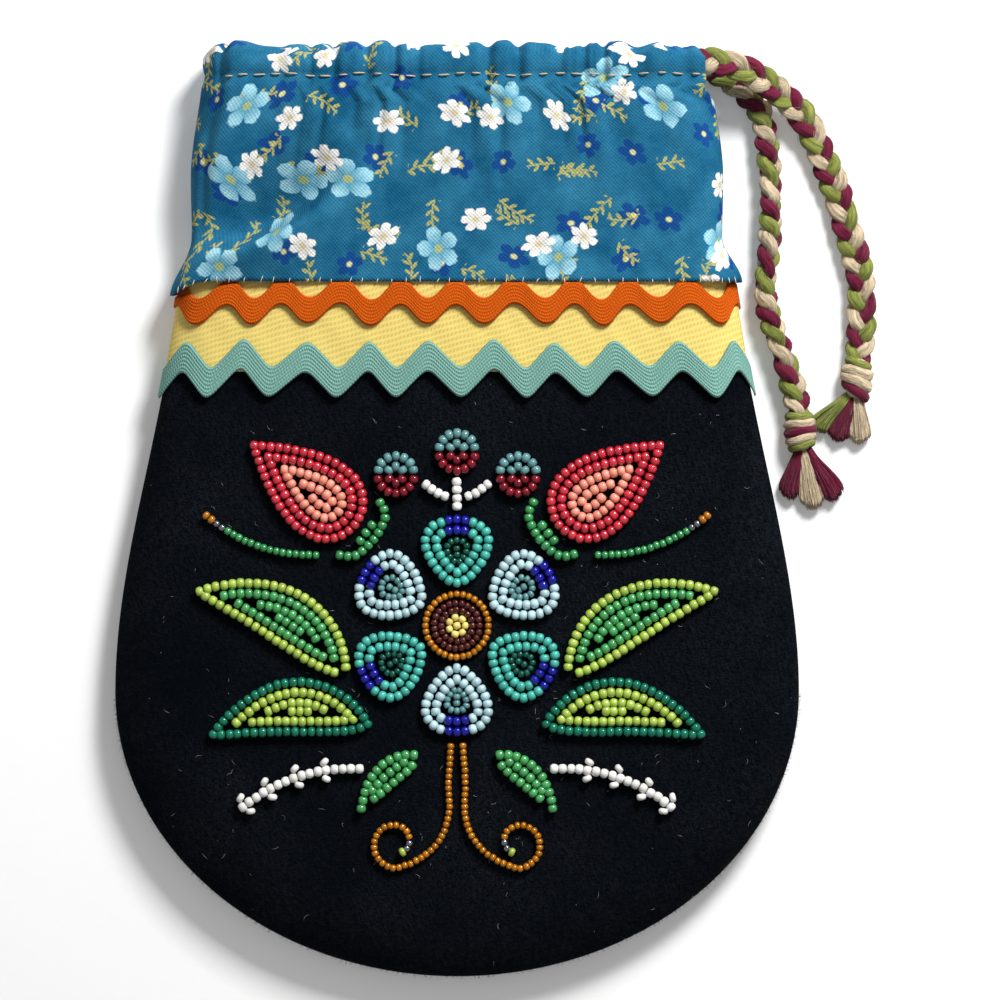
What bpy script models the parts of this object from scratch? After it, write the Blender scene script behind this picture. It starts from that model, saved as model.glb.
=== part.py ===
"""Beaded drawstring tobacco bag, lying on its back with the beaded front up.

Frame: metres, +Z up, +Y towards the mouth, +X to the drawstring's side, origin at the
centre of the bag's footprint on the surface that it lies on. Sizes below are millimetres.
"""

import math

import bmesh
import bpy
import numpy as np

MM = 0.001
GAP = 0.3
SEAM_GAP = 0.3

# Wool pouch, seen from above
WIDEST_HALF = 72.0
WIDEST_Y = -38.0
BOTTOM_DEPTH = 60.0
TAPER_HALF = 60.1
TAPER_Y = 34.9
TAPER_SLOPE = -0.165
POUCH_TOP_Y = 51.0

# Wool pouch, through its thickness
WOOL = 1.8
FRONT_Z = 11.6
POUCH_SEAM_Z = 5.4
NECK_SEAM_Z = 6.8
NECK_START_Y = 8.0
NECK_END_Y = 24.0
EDGE_ROLL = 5.0
EDGE_SHARE = 0.7
CROWN_RUN = 15.0

# Trims sewn round the pouch's neck
BAND = 0.5
BAND_LOW_Y = 29.2
BAND_HIGH_Y = 49.6
RICKRACK = 1.0
TRIM_LIFT = 0.2
CREST_POINT = 0.06
ORANGE_Y = 42.9
ORANGE_WAVES = 10.3
ORANGE_SHIFT = 0.0
ORANGE_SWING = 2.1
ORANGE_RIBBON = 5.2
TEAL_Y = 29.7
TEAL_WAVES = 9.9
TEAL_SHIFT = -0.43
TEAL_SWING = 2.55
TEAL_RIBBON = 6.4

# Cotton collar and its casing
COTTON = 0.5
COLLAR_HEM_Y = 48.1
COLLAR_HEM_HALF = 60.0
COLLAR_WAIST_Y = 57.5
COLLAR_WAIST_HALF = 55.8
COLLAR_CHEST_Y = 70.0
COLLAR_CHEST_HALF = 56.0
COLLAR_UPPER_Y = 76.0
CASING_HALF = 53.4
CASING_Y = 94.3
CASING_CORNER_Y = CASING_Y + 2.5
CASING_TOP_Y = CASING_Y + 3.4
STITCH_Y = 91.2
STITCH_GROOVE = 0.4
HEM_RADIUS = 6.0
CASING_RADIUS = 9.0
MOUTH_GAP = 4.6
GATHERS = 13
GATHER_HEIGHT = 0.6
GATHER_FADE_Y = 66.0
CORNER_SHARE = 0.12
SLIT_LOW_Y = 86.0
SLIT_RADIUS = 1.5

# The slanting fold at the collar's lower left
FOLD_PLACE = (-38.0, 58.5)
FOLD_WAY = (0.89, 0.45)
FOLD_REACH = 15.0
FOLD_RISE = 2.2
FOLD_WIDTH = 4.5
HOLLOW_DEPTH = 1.8
HOLLOW_PLACE = 9.0
HOLLOW_WIDTH = 7.5

# Drawstring: one plait, with a knot and a tassel at each end
CORD = 3.8
CORD_STEP = 8.0
CORD_SIDES = 2
KNOT_HALF_WIDTH = 3.6
KNOT_HALF_HEIGHT = 3.0
KNOT_LENGTH = 7.4
KNOT_END = 0.55
TASSEL_BULGE_RUN = 3.6
TASSEL_END_RUN = 9.0
TASSEL_LENGTH = 12.0
TASSEL_END_HALF = 5.2
TASSEL_END_HEIGHT = 1.9
CASING_CORD_X = 40.0

# Beadwork, laid on the front panel
BEAD = 2.0
BEAD_EDGE = 0.45
RING_EDGE = 0.12
ROW = 2.2
ROSETTE = (0.0, -24.0)
PETALS = 6
PETAL_MIDDLE = 15.6
PETAL_LENGTH_HALF = 7.7
PETAL_WIDTH_HALF = 7.4
GOLD_RING_R = 6.6
YELLOW_R = 2.4
BUD_BASE = (20.5, -3.5)
BUD_LENGTH = 30.0
BUD_WIDTH_HALF = 10.0
BUD_ANGLE = 38.0
BERRY_R = 4.9
BERRY_SIDE = (12.8, 7.6)
BERRY_TOP = (0.0, 12.4)
LIME_LEAF = ((22.4, -34.5), (55.5, -16.5), 6.3, 0.12)
DARK_LEAF = ((17.5, -44.5), (52.5, -47.5), 6.2, 0.14)
SMALL_LEAF = ((7.0, -50.5), (21.0, -64.0), 3.2, 0.1)
SPRIG = ((19.5, -54.0), (45.5, -62.5), 0.1)
SPRIG_BARBS = 4
BARB_REACH = 3.6
BARB_LEAD = 2.4
CURL = ((28.9, -9.2), (53.0, -0.5), -0.1)
STEM = 1.9
SCROLL_START = (1.25, -48.6)
SCROLL_DROP_Y = -58.0
SCROLL_CENTRE = (12.8, -69.5)
SCROLL_R = 5.4


def smoothstep(t):
    """Ease from 0 to 1 with level ends."""
    t = np.clip(t, 0.0, 1.0)
    return t * t * (3.0 - 2.0 * t)


def material(name, colour, roughness, metallic=0.0):
    """A Principled BSDF with one colour."""
    made = bpy.data.materials.new(name)
    made.use_nodes = True
    shader = made.node_tree.nodes["Principled BSDF"]
    shader.inputs["Base Color"].default_value = (*colour, 1.0)
    shader.inputs["Roughness"].default_value = roughness
    shader.inputs["Metallic"].default_value = metallic
    made.diffuse_color = (*colour, 1.0)
    return made


def add_mesh(name, points, faces, finish):
    """One named object from points in millimetres, with its faces turned outwards."""
    mesh = bpy.data.meshes.new(name)
    mesh.from_pydata((np.asarray(points) * MM).tolist(), [], faces)
    shape = bmesh.new()
    shape.from_mesh(mesh)
    bmesh.ops.recalc_face_normals(shape, faces=shape.faces)
    shape.to_mesh(mesh)
    shape.free()
    mesh.materials.append(finish)
    made = bpy.data.objects.new(name, mesh)
    bpy.context.collection.objects.link(made)
    return made


def grid_faces(first, rows, columns, wrap=False):
    """Quads of a rows by columns grid whose points start at index first."""
    faces = []
    for row in range(rows - 1):
        for column in range(columns if wrap else columns - 1):
            after = (column + 1) % columns
            a = first + row * columns
            faces.append((a + column, a + after, a + columns + after, a + columns + column))
    return faces


def add_cloth(name, outer, inner, finish, spine=False):
    """A closed sheet between two grids of equal size.

    With spine set, the grids' last rows fold onto themselves and their points are merged,
    so the sheet has no edge there.
    """
    rows, columns, _ = outer.shape
    points = np.concatenate([outer.reshape(-1, 3), inner.reshape(-1, 3)])
    size = rows * columns
    faces = grid_faces(0, rows, columns) + grid_faces(size, rows, columns)
    for row in [0] if spine else [0, rows - 1]:
        for column in range(columns - 1):
            a = row * columns + column
            faces.append((a + 1, a, a + size, a + 1 + size))
    for column in (0, columns - 1):
        for row in range(rows - 1):
            a = row * columns + column
            faces.append((a, a + columns, a + columns + size, a + size))
    if spine:
        points, faces = merge_points(points, faces)
    return add_mesh(name, points, faces, finish)


def merge_points(points, faces):
    """Merge points that coincide, and drop the corners and faces that vanish with them."""
    keys = {}
    kept = []
    index = []
    for point in points:
        key = tuple(np.round(point, 4))
        if key not in keys:
            keys[key] = len(kept)
            kept.append(point)
        index.append(keys[key])
    merged = []
    for face in faces:
        corners = []
        for corner in face:
            if index[corner] not in corners:
                corners.append(index[corner])
        if len(corners) > 2:
            merged.append(tuple(corners))
    return kept, merged


# Wool pouch


def neck_share(y):
    """0 under the pouch, 1 at its neck, where the trims below lift the back panel."""
    return smoothstep((np.asarray(y) - NECK_START_Y) / (NECK_END_Y - NECK_START_Y))


def trim_stack():
    """How far the band and a rickrack stand out from the wool."""
    return GAP + BAND + GAP + RICKRACK


def seam_z(y):
    """Height of the side seam."""
    return POUCH_SEAM_Z + (NECK_SEAM_Z - POUCH_SEAM_Z) * neck_share(y)


def back_z(y):
    """Height of the back panel's underside, raised where the trims pass below it."""
    return (trim_stack() + TRIM_LIFT) * neck_share(y)


def side_half(y):
    """Half width above the widest line: a Hermite ease, then a straight taper."""
    run = TAPER_Y - WIDEST_Y
    t = np.minimum((y - WIDEST_Y) / run, 1.0)
    ease = t * t * (3.0 - 2.0 * t)
    pull = t * t * (t - 1.0)
    eased = WIDEST_HALF + (TAPER_HALF - WIDEST_HALF) * ease + TAPER_SLOPE * run * pull
    return eased + TAPER_SLOPE * np.maximum(y - TAPER_Y, 0.0)


def pouch_columns():
    """Rim points, inward directions and spine points, from top right round to top left."""
    levels = np.concatenate([
        np.linspace(POUCH_TOP_Y, NECK_END_Y, 4),
        np.linspace(NECK_END_Y, NECK_START_Y, 6)[1:],
        np.linspace(NECK_START_Y, WIDEST_Y, 4)[1:-1],
    ])
    side = np.stack([side_half(levels), levels], axis=1)
    angle = np.radians(np.linspace(0.0, -180.0, 17))
    bottom = np.stack([WIDEST_HALF * np.cos(angle), WIDEST_Y + BOTTOM_DEPTH * np.sin(angle)], axis=1)
    normal = np.stack([BOTTOM_DEPTH * np.cos(angle), WIDEST_HALF * np.sin(angle)], axis=1)
    normal /= np.linalg.norm(normal, axis=1)[:, None]
    mirror = np.array([-1.0, 1.0])
    rim = np.concatenate([side, bottom, side[::-1] * mirror])
    right = np.tile([-1.0, 0.0], (len(side), 1))
    inward = np.concatenate([right, -normal, -right])
    spine = rim.copy()
    spine[:, 0] = 0.0
    spine[:, 1] = np.maximum(spine[:, 1], WIDEST_Y)
    return rim, inward, spine


def roll_section(crowned):
    """The panel's section at its rim: inward runs and the share of the full height there.

    A quarter of an ellipse rises from the seam. On the front a crown then eases up to the
    flat middle.
    """
    angle = np.radians(np.linspace(0.0, 90.0, 4))
    run = EDGE_ROLL * (1.0 - np.cos(angle))
    share = np.sin(angle)
    if crowned:
        share = share * EDGE_SHARE
        crown = np.linspace(0.0, 1.0, 3)[1:]
        run = np.concatenate([run, EDGE_ROLL + (CROWN_RUN - EDGE_ROLL) * crown])
        share = np.concatenate([share, EDGE_SHARE + (1.0 - EDGE_SHARE) * smoothstep(crown)])
    return run, share


def add_panel(name, crowned, finish):
    """Front or back wool panel: a rolled rim round a flat middle, one wool thickness deep."""
    rim, inward, spine = pouch_columns()
    seam = seam_z(rim[:, 1])
    if crowned:
        start = seam + SEAM_GAP / 2.0
        reach = FRONT_Z - start
    else:
        start = seam - SEAM_GAP / 2.0
        reach = back_z(rim[:, 1]) - start
    run, share = roll_section(crowned)
    turn = np.linspace(0.0, 1.0, 4) * math.pi / 2.0
    lean_in = np.concatenate([np.cos(turn), np.zeros(len(run) - len(turn))])
    lean_down = np.concatenate([np.sin(turn), np.ones(len(run) - len(turn))])
    outer = []
    inner = []
    for k in range(len(run)):
        plan = rim + inward * run[k]
        height = start + reach * share[k]
        outer.append(np.column_stack([plan, height]))
        plan = plan + inward * WOOL * lean_in[k]
        height = height - np.sign(reach) * WOOL * lean_down[k]
        inner.append(np.column_stack([plan, height]))
    outer.append(np.column_stack([spine, start + reach]))
    inner.append(np.column_stack([spine, start + reach - np.sign(reach) * WOOL]))
    return add_cloth(name, np.array(outer), np.array(inner), finish, spine=True)


# Trims round the neck


def neck_loop(y, offset, front):
    """Points along half of the neck's outline at height y, right seam to left seam.

    The wool's outer section is moved out by offset along its own normal.
    """
    run, share = roll_section(front)
    if not front:
        run = np.append(run, CROWN_RUN)
        share = np.append(share, 1.0)
    half = side_half(y)
    seam = seam_z(y)
    start = seam + (SEAM_GAP / 2.0 if front else -SEAM_GAP / 2.0)
    reach = (FRONT_Z if front else back_z(y)) - start
    across = half - run
    height = start + reach * share
    slope_across = np.gradient(across)
    slope_height = np.gradient(height)
    length = np.hypot(slope_across, slope_height)
    side = 1.0 if front else -1.0
    out_across = side * slope_height / length
    out_height = -side * slope_across / length
    out_across[0], out_height[0] = 1.0, 0.0
    out_across[-1], out_height[-1] = 0.0, side
    across = across + out_across * offset
    height = height + out_height * offset
    return np.concatenate([across, -across[::-1]]), np.concatenate([height, height[::-1]])


def neck_point(y, share, offset, front):
    """The point at a share of the way along the neck's half outline."""
    across, height = neck_loop(y, offset, front)
    steps = np.hypot(np.diff(across), np.diff(height))
    along = np.concatenate([[0.0], np.cumsum(steps)]) / steps.sum()
    return np.interp(share, along, across), y, np.interp(share, along, height)


def add_band(name, front, finish):
    """Twill band: a strip of even thickness over the neck's half outline."""
    levels = [BAND_LOW_Y, (BAND_LOW_Y + BAND_HIGH_Y) / 2.0, BAND_HIGH_Y]
    faces = []
    for offset in (GAP + BAND, GAP):
        rows = []
        for y in levels:
            across, height = neck_loop(y, offset, front)
            rows.append(np.column_stack([across, np.full(len(across), y), height]))
        faces.append(np.array(rows))
    return add_cloth(name, faces[0], faces[1], finish)


def wave(turns):
    """Rickrack's rounded zigzag, about -1 to 1, with a crest at each whole turn."""
    angle = 2.0 * math.pi * turns
    return math.cos(angle) + CREST_POINT * math.cos(3.0 * angle)


def add_rickrack(name, front, centre_y, waves, shift, swing, ribbon, finish):
    """Rickrack: a ribbon that swings round centre_y over the neck's half outline.

    Without a shift it has a crest at the neck's middle.
    """
    shares = np.linspace(0.0, 1.0, (6 if front else 4) * round(waves) + 1)
    base = GAP + BAND + GAP
    grids = []
    for offset in (base + RICKRACK, base):
        rows = []
        for edge in (-0.5, 0.5):
            row = []
            for share in shares:
                turns = (share - 0.5) * waves + shift
                y = centre_y + swing * wave(turns) + edge * ribbon
                row.append(neck_point(y, share, offset, front))
            rows.append(row)
        grids.append(np.array(rows))
    return add_cloth(name, grids[0], grids[1], finish)


# Collar


def collar_half(y):
    """Half width of the collar: flared at the hem, waisted above it, easing to the casing."""
    stations = [COLLAR_HEM_Y, COLLAR_WAIST_Y, COLLAR_CHEST_Y, CASING_Y]
    widths = [COLLAR_HEM_HALF, COLLAR_WAIST_HALF, COLLAR_CHEST_HALF, CASING_HALF]
    for k in range(3):
        if y <= stations[k + 1] or k == 2:
            t = smoothstep((y - stations[k]) / (stations[k + 1] - stations[k]))
            return widths[k] + (widths[k + 1] - widths[k]) * float(t)
    return CASING_HALF


def casing_depth():
    """From the casing's outer face to its inner face: cotton, cord and clearance, cotton."""
    return 2.0 * COTTON + CORD + 2.0 * GAP


def collar_share(y):
    """0 at the collar's hem, 1 at its casing."""
    return float(smoothstep((y - COLLAR_HEM_Y) / (CASING_Y - COLLAR_HEM_Y)))


def collar_levels(y):
    """Heights of the collar's outer face at y: its top and its underside."""
    rise = collar_share(y)
    hem_stack = GAP + BAND + GAP + COTTON
    hem_top = FRONT_Z + hem_stack
    hem_low = back_z(COLLAR_HEM_Y) - hem_stack
    casing_top = 2.0 * casing_depth() + MOUTH_GAP
    return hem_top + (casing_top - hem_top) * rise, hem_low * (1.0 - rise)


def fold_relief(x, y):
    """The soft slanting fold at the collar's lower left: a ridge with a hollow above it."""
    from_x, from_y = x - FOLD_PLACE[0], y - FOLD_PLACE[1]
    along = from_x * FOLD_WAY[0] + from_y * FOLD_WAY[1]
    across = from_y * FOLD_WAY[0] - from_x * FOLD_WAY[1]
    fade = math.exp(-(along / FOLD_REACH) ** 2)
    ridge = FOLD_RISE * math.exp(-(across / FOLD_WIDTH) ** 2)
    hollow = HOLLOW_DEPTH * math.exp(-((across - HOLLOW_PLACE) / HOLLOW_WIDTH) ** 2)
    return fade * (ridge - hollow)


def slit_opening(y):
    """0 below the slit that lets the drawstring out at the right, 1 along the casing."""
    return float(smoothstep((y - SLIT_LOW_Y) / (STITCH_Y - 1.0 - SLIT_LOW_Y)))


def collar_point(y, depth, share, front, gather):
    """A point on the collar, depth in from its outer face, share along from the right seam.

    Each half is a flat middle between two quarters of an ellipse. Beside the slit the right
    quarter closes up, so the casing's end lies open and flat.
    """
    top, low = collar_levels(y)
    middle = (top + low) / 2.0
    radius = HEM_RADIUS + (CASING_RADIUS - HEM_RADIUS) * collar_share(y)
    right_radius = radius + (SLIT_RADIUS - radius) * slit_opening(y)
    right = collar_half(y) - right_radius
    left = radius - collar_half(y)
    flat = min(max((share - CORNER_SHARE) / (1.0 - 2.0 * CORNER_SHARE), 0.0), 1.0)
    x = right + (left - right) * flat
    angle = math.pi / 2.0
    if share < CORNER_SHARE:
        angle *= share / CORNER_SHARE
        x += math.cos(angle) * (right_radius - depth)
    elif share > 1.0 - CORNER_SHARE:
        angle *= (1.0 - share) / CORNER_SHARE
        x -= math.cos(angle) * (radius - depth)
    rise = ((top - low) / 2.0 - depth) * math.sin(angle)
    if front:
        rise += (gather + fold_relief(x, y)) * math.sin(angle)
        return x, y, middle + rise
    return x, y, middle - rise


def gather_height(y, share):
    """Puckers of the gathered cotton, full at the casing and gone half way down."""
    fade = float(smoothstep((y - GATHER_FADE_Y) / (STITCH_Y - GATHER_FADE_Y)))
    uneven = 0.75 + 0.25 * math.sin(2.0 * math.pi * share * 4.0 + 1.0)
    return GATHER_HEIGHT * fade * uneven * (0.5 + 0.5 * math.cos(2.0 * math.pi * share * GATHERS))


def collar_section():
    """Middle line of the cotton, hem to casing and back: heights and depths."""
    mid = COTTON / 2.0
    inner = casing_depth() - mid
    corner = 2.0 * COTTON
    heights = [COLLAR_HEM_Y, BAND_HIGH_Y + 2.0 * GAP, COLLAR_WAIST_Y, GATHER_FADE_Y, COLLAR_UPPER_Y,
               SLIT_LOW_Y]
    outer_wall = [(y, mid) for y in heights]
    casing = [
        (STITCH_Y, mid + STITCH_GROOVE),
        (CASING_Y, mid),
        (CASING_CORNER_Y, mid + corner),
        (CASING_TOP_Y, casing_depth() / 2.0),
        (CASING_CORNER_Y, inner - corner),
        (CASING_Y, inner),
        (STITCH_Y - STITCH_GROOVE, inner - corner),
        (STITCH_Y - corner, mid + STITCH_GROOVE + COTTON + GAP),
    ]
    return outer_wall + casing


def add_collar(name, front, columns, finish):
    """Half of the collar, from hem to casing fold to the folded-in hem, one sheet of cotton.

    Each rounded corner has four columns, and the flat middle has the number given.
    """
    section = np.array(collar_section())
    casing_row = int(np.argmax(section[:, 0] >= CASING_Y))
    step = np.gradient(section, axis=0)
    normal = np.column_stack([-step[:, 1], step[:, 0]])
    normal /= np.linalg.norm(normal, axis=1)[:, None]
    corner = np.linspace(0.0, CORNER_SHARE, 5)
    flat = np.linspace(CORNER_SHARE, 1.0 - CORNER_SHARE, columns + 1)
    shares = np.concatenate([corner, flat[1:-1], 1.0 - corner[::-1]])
    grids = []
    for side in (-0.5, 0.5):
        rows = []
        for k, (y, depth) in enumerate(section):
            row_y = y + normal[k][0] * COTTON * side
            row_depth = depth + normal[k][1] * COTTON * side
            folded = y > CASING_Y + 1.0
            start = CORNER_SHARE * slit_opening(y)
            row = []
            for share in shares:
                along = start + (1.0 - start) * share
                pucker = gather_height(min(y, STITCH_Y), share)
                outer_wall = depth < casing_depth() / 4.0 and k <= casing_row
                point_y = row_y + pucker if folded else row_y
                row.append(collar_point(point_y, row_depth, along, front, pucker if outer_wall else 0.0))
            rows.append(row)
        grids.append(np.array(rows))
    grids = [seam_gap(grid, front) for grid in grids]
    return add_cloth(name, grids[0], grids[1], finish)


def seam_gap(grid, front):
    """Keep each half of the collar half a seam gap off the side seam."""
    limit = SEAM_GAP / 2.0
    for row in grid:
        top, low = collar_levels(row[0][1])
        middle = (top + low) / 2.0
        if front:
            row[:, 2] = np.maximum(row[:, 2], middle + limit)
        else:
            row[:, 2] = np.minimum(row[:, 2], middle - limit)
    return grid


# Drawstring


OUTER_TAIL = [
    (50.0, 94.3, 12.7), (55.0, 94.0, 12.5), (60.0, 92.6, 10.9), (64.6, 90.2, 8.3),
    (68.8, 87.1, 5.6), (72.4, 83.4, 3.5), (75.2, 79.2, 2.3), (77.4, 74.5, 2.0),
    (79.3, 70.0, 2.0), (80.9, 65.2, 2.0), (82.4, 60.4, 2.0), (83.8, 55.4, 2.0),
    (84.9, 50.2, 2.0), (85.4, 45.0, 2.0), (85.3, 39.8, 2.0), (84.9, 35.4, 2.0),
    (84.5, 32.4, 2.2),
]
INNER_TAIL = [
    (50.0, 94.2, 2.7), (54.6, 92.8, 2.5), (58.6, 90.3, 2.1), (61.9, 87.2, 2.0),
    (64.2, 83.4, 2.0), (65.3, 79.0, 2.0), (65.8, 74.0, 2.0), (66.1, 68.6, 2.0),
    (66.2, 63.2, 2.0), (66.1, 58.0, 2.0), (65.5, 53.0, 2.0), (65.0, 48.2, 2.0),
    (65.4, 43.4, 2.0), (66.8, 38.2, 2.0), (68.7, 33.0, 2.0), (70.4, 28.0, 2.0),
    (71.6, 23.6, 2.0), (72.0, 21.2, 2.2),
]
OUTER_KNOT = ((84.3, 28.0), (-0.12, -1.0))
INNER_KNOT = ((72.4, 16.9), (0.1, -1.0))


def smooth_route(points, step):
    """Points about a step apart on the Catmull-Rom curve through a route."""
    route = np.array(points)
    ends = np.vstack([2.0 * route[0] - route[1], route, 2.0 * route[-1] - route[-2]])
    fine = []
    for k in range(len(route) - 1):
        a, b, c, d = ends[k:k + 4]
        for t in np.linspace(0.0, 1.0, 12, endpoint=False):
            fine.append(0.5 * (2.0 * b + (c - a) * t + (2.0 * a - 5.0 * b + 4.0 * c - d) * t * t
                               + (3.0 * b - a - 3.0 * c + d) * t ** 3))
    fine = np.array(fine + [route[-1]])
    along = np.concatenate([[0.0], np.cumsum(np.linalg.norm(np.diff(fine, axis=0), axis=1))])
    count = max(int(round(along[-1] / step)), 2)
    even = np.linspace(0.0, along[-1], count + 1)
    return np.column_stack([np.interp(even, along, fine[:, axis]) for axis in range(3)])


def drawstring_route():
    """Inner tail, back casing, round the left side, front casing, outer tail."""
    depth = casing_depth() / 2.0
    middle = casing_depth() + MOUTH_GAP / 2.0
    rise = middle - depth
    reach = CASING_RADIUS - depth
    centre = CASING_HALF - CASING_RADIUS
    inner = smooth_route(INNER_TAIL, CORD_STEP)[::-1]
    outer = smooth_route(OUTER_TAIL, CORD_STEP)
    straight = np.linspace(CASING_CORD_X, -centre, 9)
    back = np.column_stack([straight, np.full(9, CASING_Y), np.full(9, middle - rise)])
    angle = np.radians(np.linspace(-90.0, 90.0, 9))[1:-1]
    turn = np.column_stack([
        -centre - reach * np.cos(angle), np.full(7, CASING_Y), middle + rise * np.sin(angle)])
    front = back[::-1] + np.array([0.0, 0.0, 2.0 * rise])
    return np.concatenate([inner, back, turn, front, outer])


def add_cord(name, route, finish):
    """The plait as a round tube along its route."""
    curve = bpy.data.curves.new(name, "CURVE")
    curve.dimensions = "3D"
    curve.bevel_depth = CORD / 2.0 * MM
    curve.bevel_resolution = CORD_SIDES
    curve.use_fill_caps = True
    spline = curve.splines.new("POLY")
    spline.points.add(len(route) - 1)
    for point, place in zip(spline.points, route):
        point.co = (*(place * MM), 1.0)
    curve.materials.append(finish)
    made = bpy.data.objects.new(name, curve)
    bpy.context.collection.objects.link(made)
    return made


def add_loft(name, start, direction, stations, finish, sides=8):
    """A closed body along a level direction: each station is a run, half width and half height."""
    heading = np.array(direction) / math.hypot(*direction)
    across = np.array([heading[1], -heading[0]])
    points = []
    for run, half_width, half_height in stations:
        for k in range(sides):
            angle = 2.0 * math.pi * k / sides
            plan = np.array(start) + heading * run + across * half_width * math.cos(angle)
            points.append((*plan, half_height * (1.0 + math.sin(angle)) + 0.05))
    faces = grid_faces(0, len(stations), sides, wrap=True)
    faces.append(tuple(range(sides)))
    faces.append(tuple(range(len(points) - sides, len(points))))
    return add_mesh(name, points, faces, finish)


def add_cord_end(side, knot, knot_finish, tassel_finish):
    """The wrapped knot and the loose yarn below it."""
    (x, y), direction = knot
    heading = np.array(direction) / math.hypot(*direction)
    half = KNOT_LENGTH / 2.0
    wide, high = KNOT_HALF_WIDTH, KNOT_HALF_HEIGHT
    drawn_in = (KNOT_END * wide, 0.7 * high)
    barrel = [(-half, *drawn_in), (-0.6 * half, wide, high), (0.6 * half, wide, high),
              (half, *drawn_in)]
    add_loft("knot_" + side, (x, y), heading, barrel, knot_finish)
    end = (TASSEL_END_HALF, TASSEL_END_HEIGHT)
    fan = [(half + GAP, *drawn_in), (half + TASSEL_BULGE_RUN, 0.75 * end[0], 0.8 * high),
           (half + TASSEL_END_RUN, *end), (half + TASSEL_LENGTH, 0.8 * end[0], 0.6 * end[1])]
    add_loft("tassel_" + side, (x, y), heading, fan, tassel_finish)


# Beadwork


def place(outline, origin, degrees):
    """Turn an outline by degrees and move it to its origin."""
    angle = math.radians(degrees)
    turn = np.array([[math.cos(angle), math.sin(angle)], [-math.sin(angle), math.cos(angle)]])
    return np.asarray(outline) @ turn + np.array(origin)


def mirrored(outline):
    """The same outline on the other side, still running the same way round."""
    return (np.asarray(outline) * np.array([-1.0, 1.0]))[::-1]


def shrunk(outline, edge):
    """Draw an outline's points towards its middle, by edge on average."""
    outline = np.asarray(outline)
    towards = outline.mean(axis=0) - outline
    return outline + towards * edge / np.linalg.norm(towards, axis=1).mean()


def bead_levels(outline, lift):
    """Points of an outline at a lift above the front panel."""
    outline = np.asarray(outline)
    return np.column_stack([outline, np.full(len(outline), FRONT_Z + GAP + lift)])


def add_pad(name, outline, finish, edge=BEAD_EDGE):
    """A sewn bead field: flat below, with its upper edge drawn in."""
    count = len(outline)
    levels = [bead_levels(outline, 0.0), bead_levels(outline, BEAD - edge)]
    levels.append(bead_levels(shrunk(outline, edge), BEAD))
    faces = grid_faces(0, 3, count, wrap=True)
    faces.append(tuple(range(count)))
    faces.append(tuple(range(2 * count, 3 * count)))
    return add_mesh(name, np.concatenate(levels), faces, finish)


def add_prism(name, outline, finish):
    """A thin bead field with straight sides."""
    count = len(outline)
    faces = grid_faces(0, 2, count, wrap=True)
    faces.append(tuple(range(count)))
    faces.append(tuple(range(count, 2 * count)))
    points = np.concatenate([bead_levels(outline, 0.0), bead_levels(outline, BEAD - BEAD_EDGE)])
    return add_mesh(name, points, faces, finish)


def add_ring(name, outline, hole, finish):
    """Bead rows between an outline and the hole inside it, which has as many points."""
    outline, hole = np.asarray(outline), np.asarray(hole)
    count = len(outline)
    in_a_bit = outline + (hole - outline) * RING_EDGE
    out_a_bit = hole + (outline - hole) * RING_EDGE
    loops = [bead_levels(outline, 0.0), bead_levels(outline, BEAD - BEAD_EDGE),
             bead_levels(in_a_bit, BEAD), bead_levels(out_a_bit, BEAD),
             bead_levels(hole, BEAD - BEAD_EDGE), bead_levels(hole, 0.0)]
    faces = grid_faces(0, len(loops), count, wrap=True)
    last = (len(loops) - 1) * count
    for k in range(count):
        after = (k + 1) % count
        faces.append((last + k, last + after, after, k))
    return add_mesh(name, np.concatenate(loops), faces, finish)


def add_string(name, path, width, finish):
    """A row of beads along a path: flat below, with its upper edges drawn in."""
    path = np.asarray(path)
    along = np.gradient(path, axis=0)
    along /= np.linalg.norm(along, axis=1)[:, None]
    side = np.column_stack([-along[:, 1], along[:, 0]])
    half = width / 2.0
    edge = width / 4.0
    rails = [(-half, 0.0), (-half, width - edge), (-half + edge, width),
             (half - edge, width), (half, width - edge), (half, 0.0)]
    points = []
    for k in range(len(path)):
        for across, lift in rails:
            points.append(bead_levels([path[k] + side[k] * across], lift)[0])
    count = len(rails)
    faces = grid_faces(0, len(path), count, wrap=True)
    faces.append(tuple(range(count)))
    faces.append(tuple(range(len(points) - count, len(points))))
    return add_mesh(name, points, faces, finish)


def circle(centre, radius, count):
    """Points round a circle."""
    angle = np.linspace(0.0, 2.0 * math.pi, count, endpoint=False)
    return np.column_stack([centre[0] + radius * np.cos(angle), centre[1] + radius * np.sin(angle)])


def petal_outline(inset=0.0, count=12):
    """A petal along +X from the rosette's middle, broader towards its outer end."""
    t = np.linspace(0.0, 2.0 * math.pi, count, endpoint=False)
    along = PETAL_MIDDLE + (PETAL_LENGTH_HALF - inset) * np.cos(t)
    across = (PETAL_WIDTH_HALF - inset) * np.sin(t) * (1.0 + 0.3 * np.cos(t))
    return np.column_stack([along, across])


def bud_outline(inset=0.0, count=16):
    """A pointed bud along +X from its base: a teardrop with its tip away from the base."""
    t = np.linspace(0.0, 2.0 * math.pi, count, endpoint=False)
    tip = BUD_LENGTH - 2.2 * inset
    along = inset + (tip - inset) / 2.0 * (1.0 + np.cos(t))
    across = (BUD_WIDTH_HALF - inset) * 1.18 * np.sin(t) * np.sin(t / 2.0) ** 1.1
    return np.column_stack([along, across])


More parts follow.
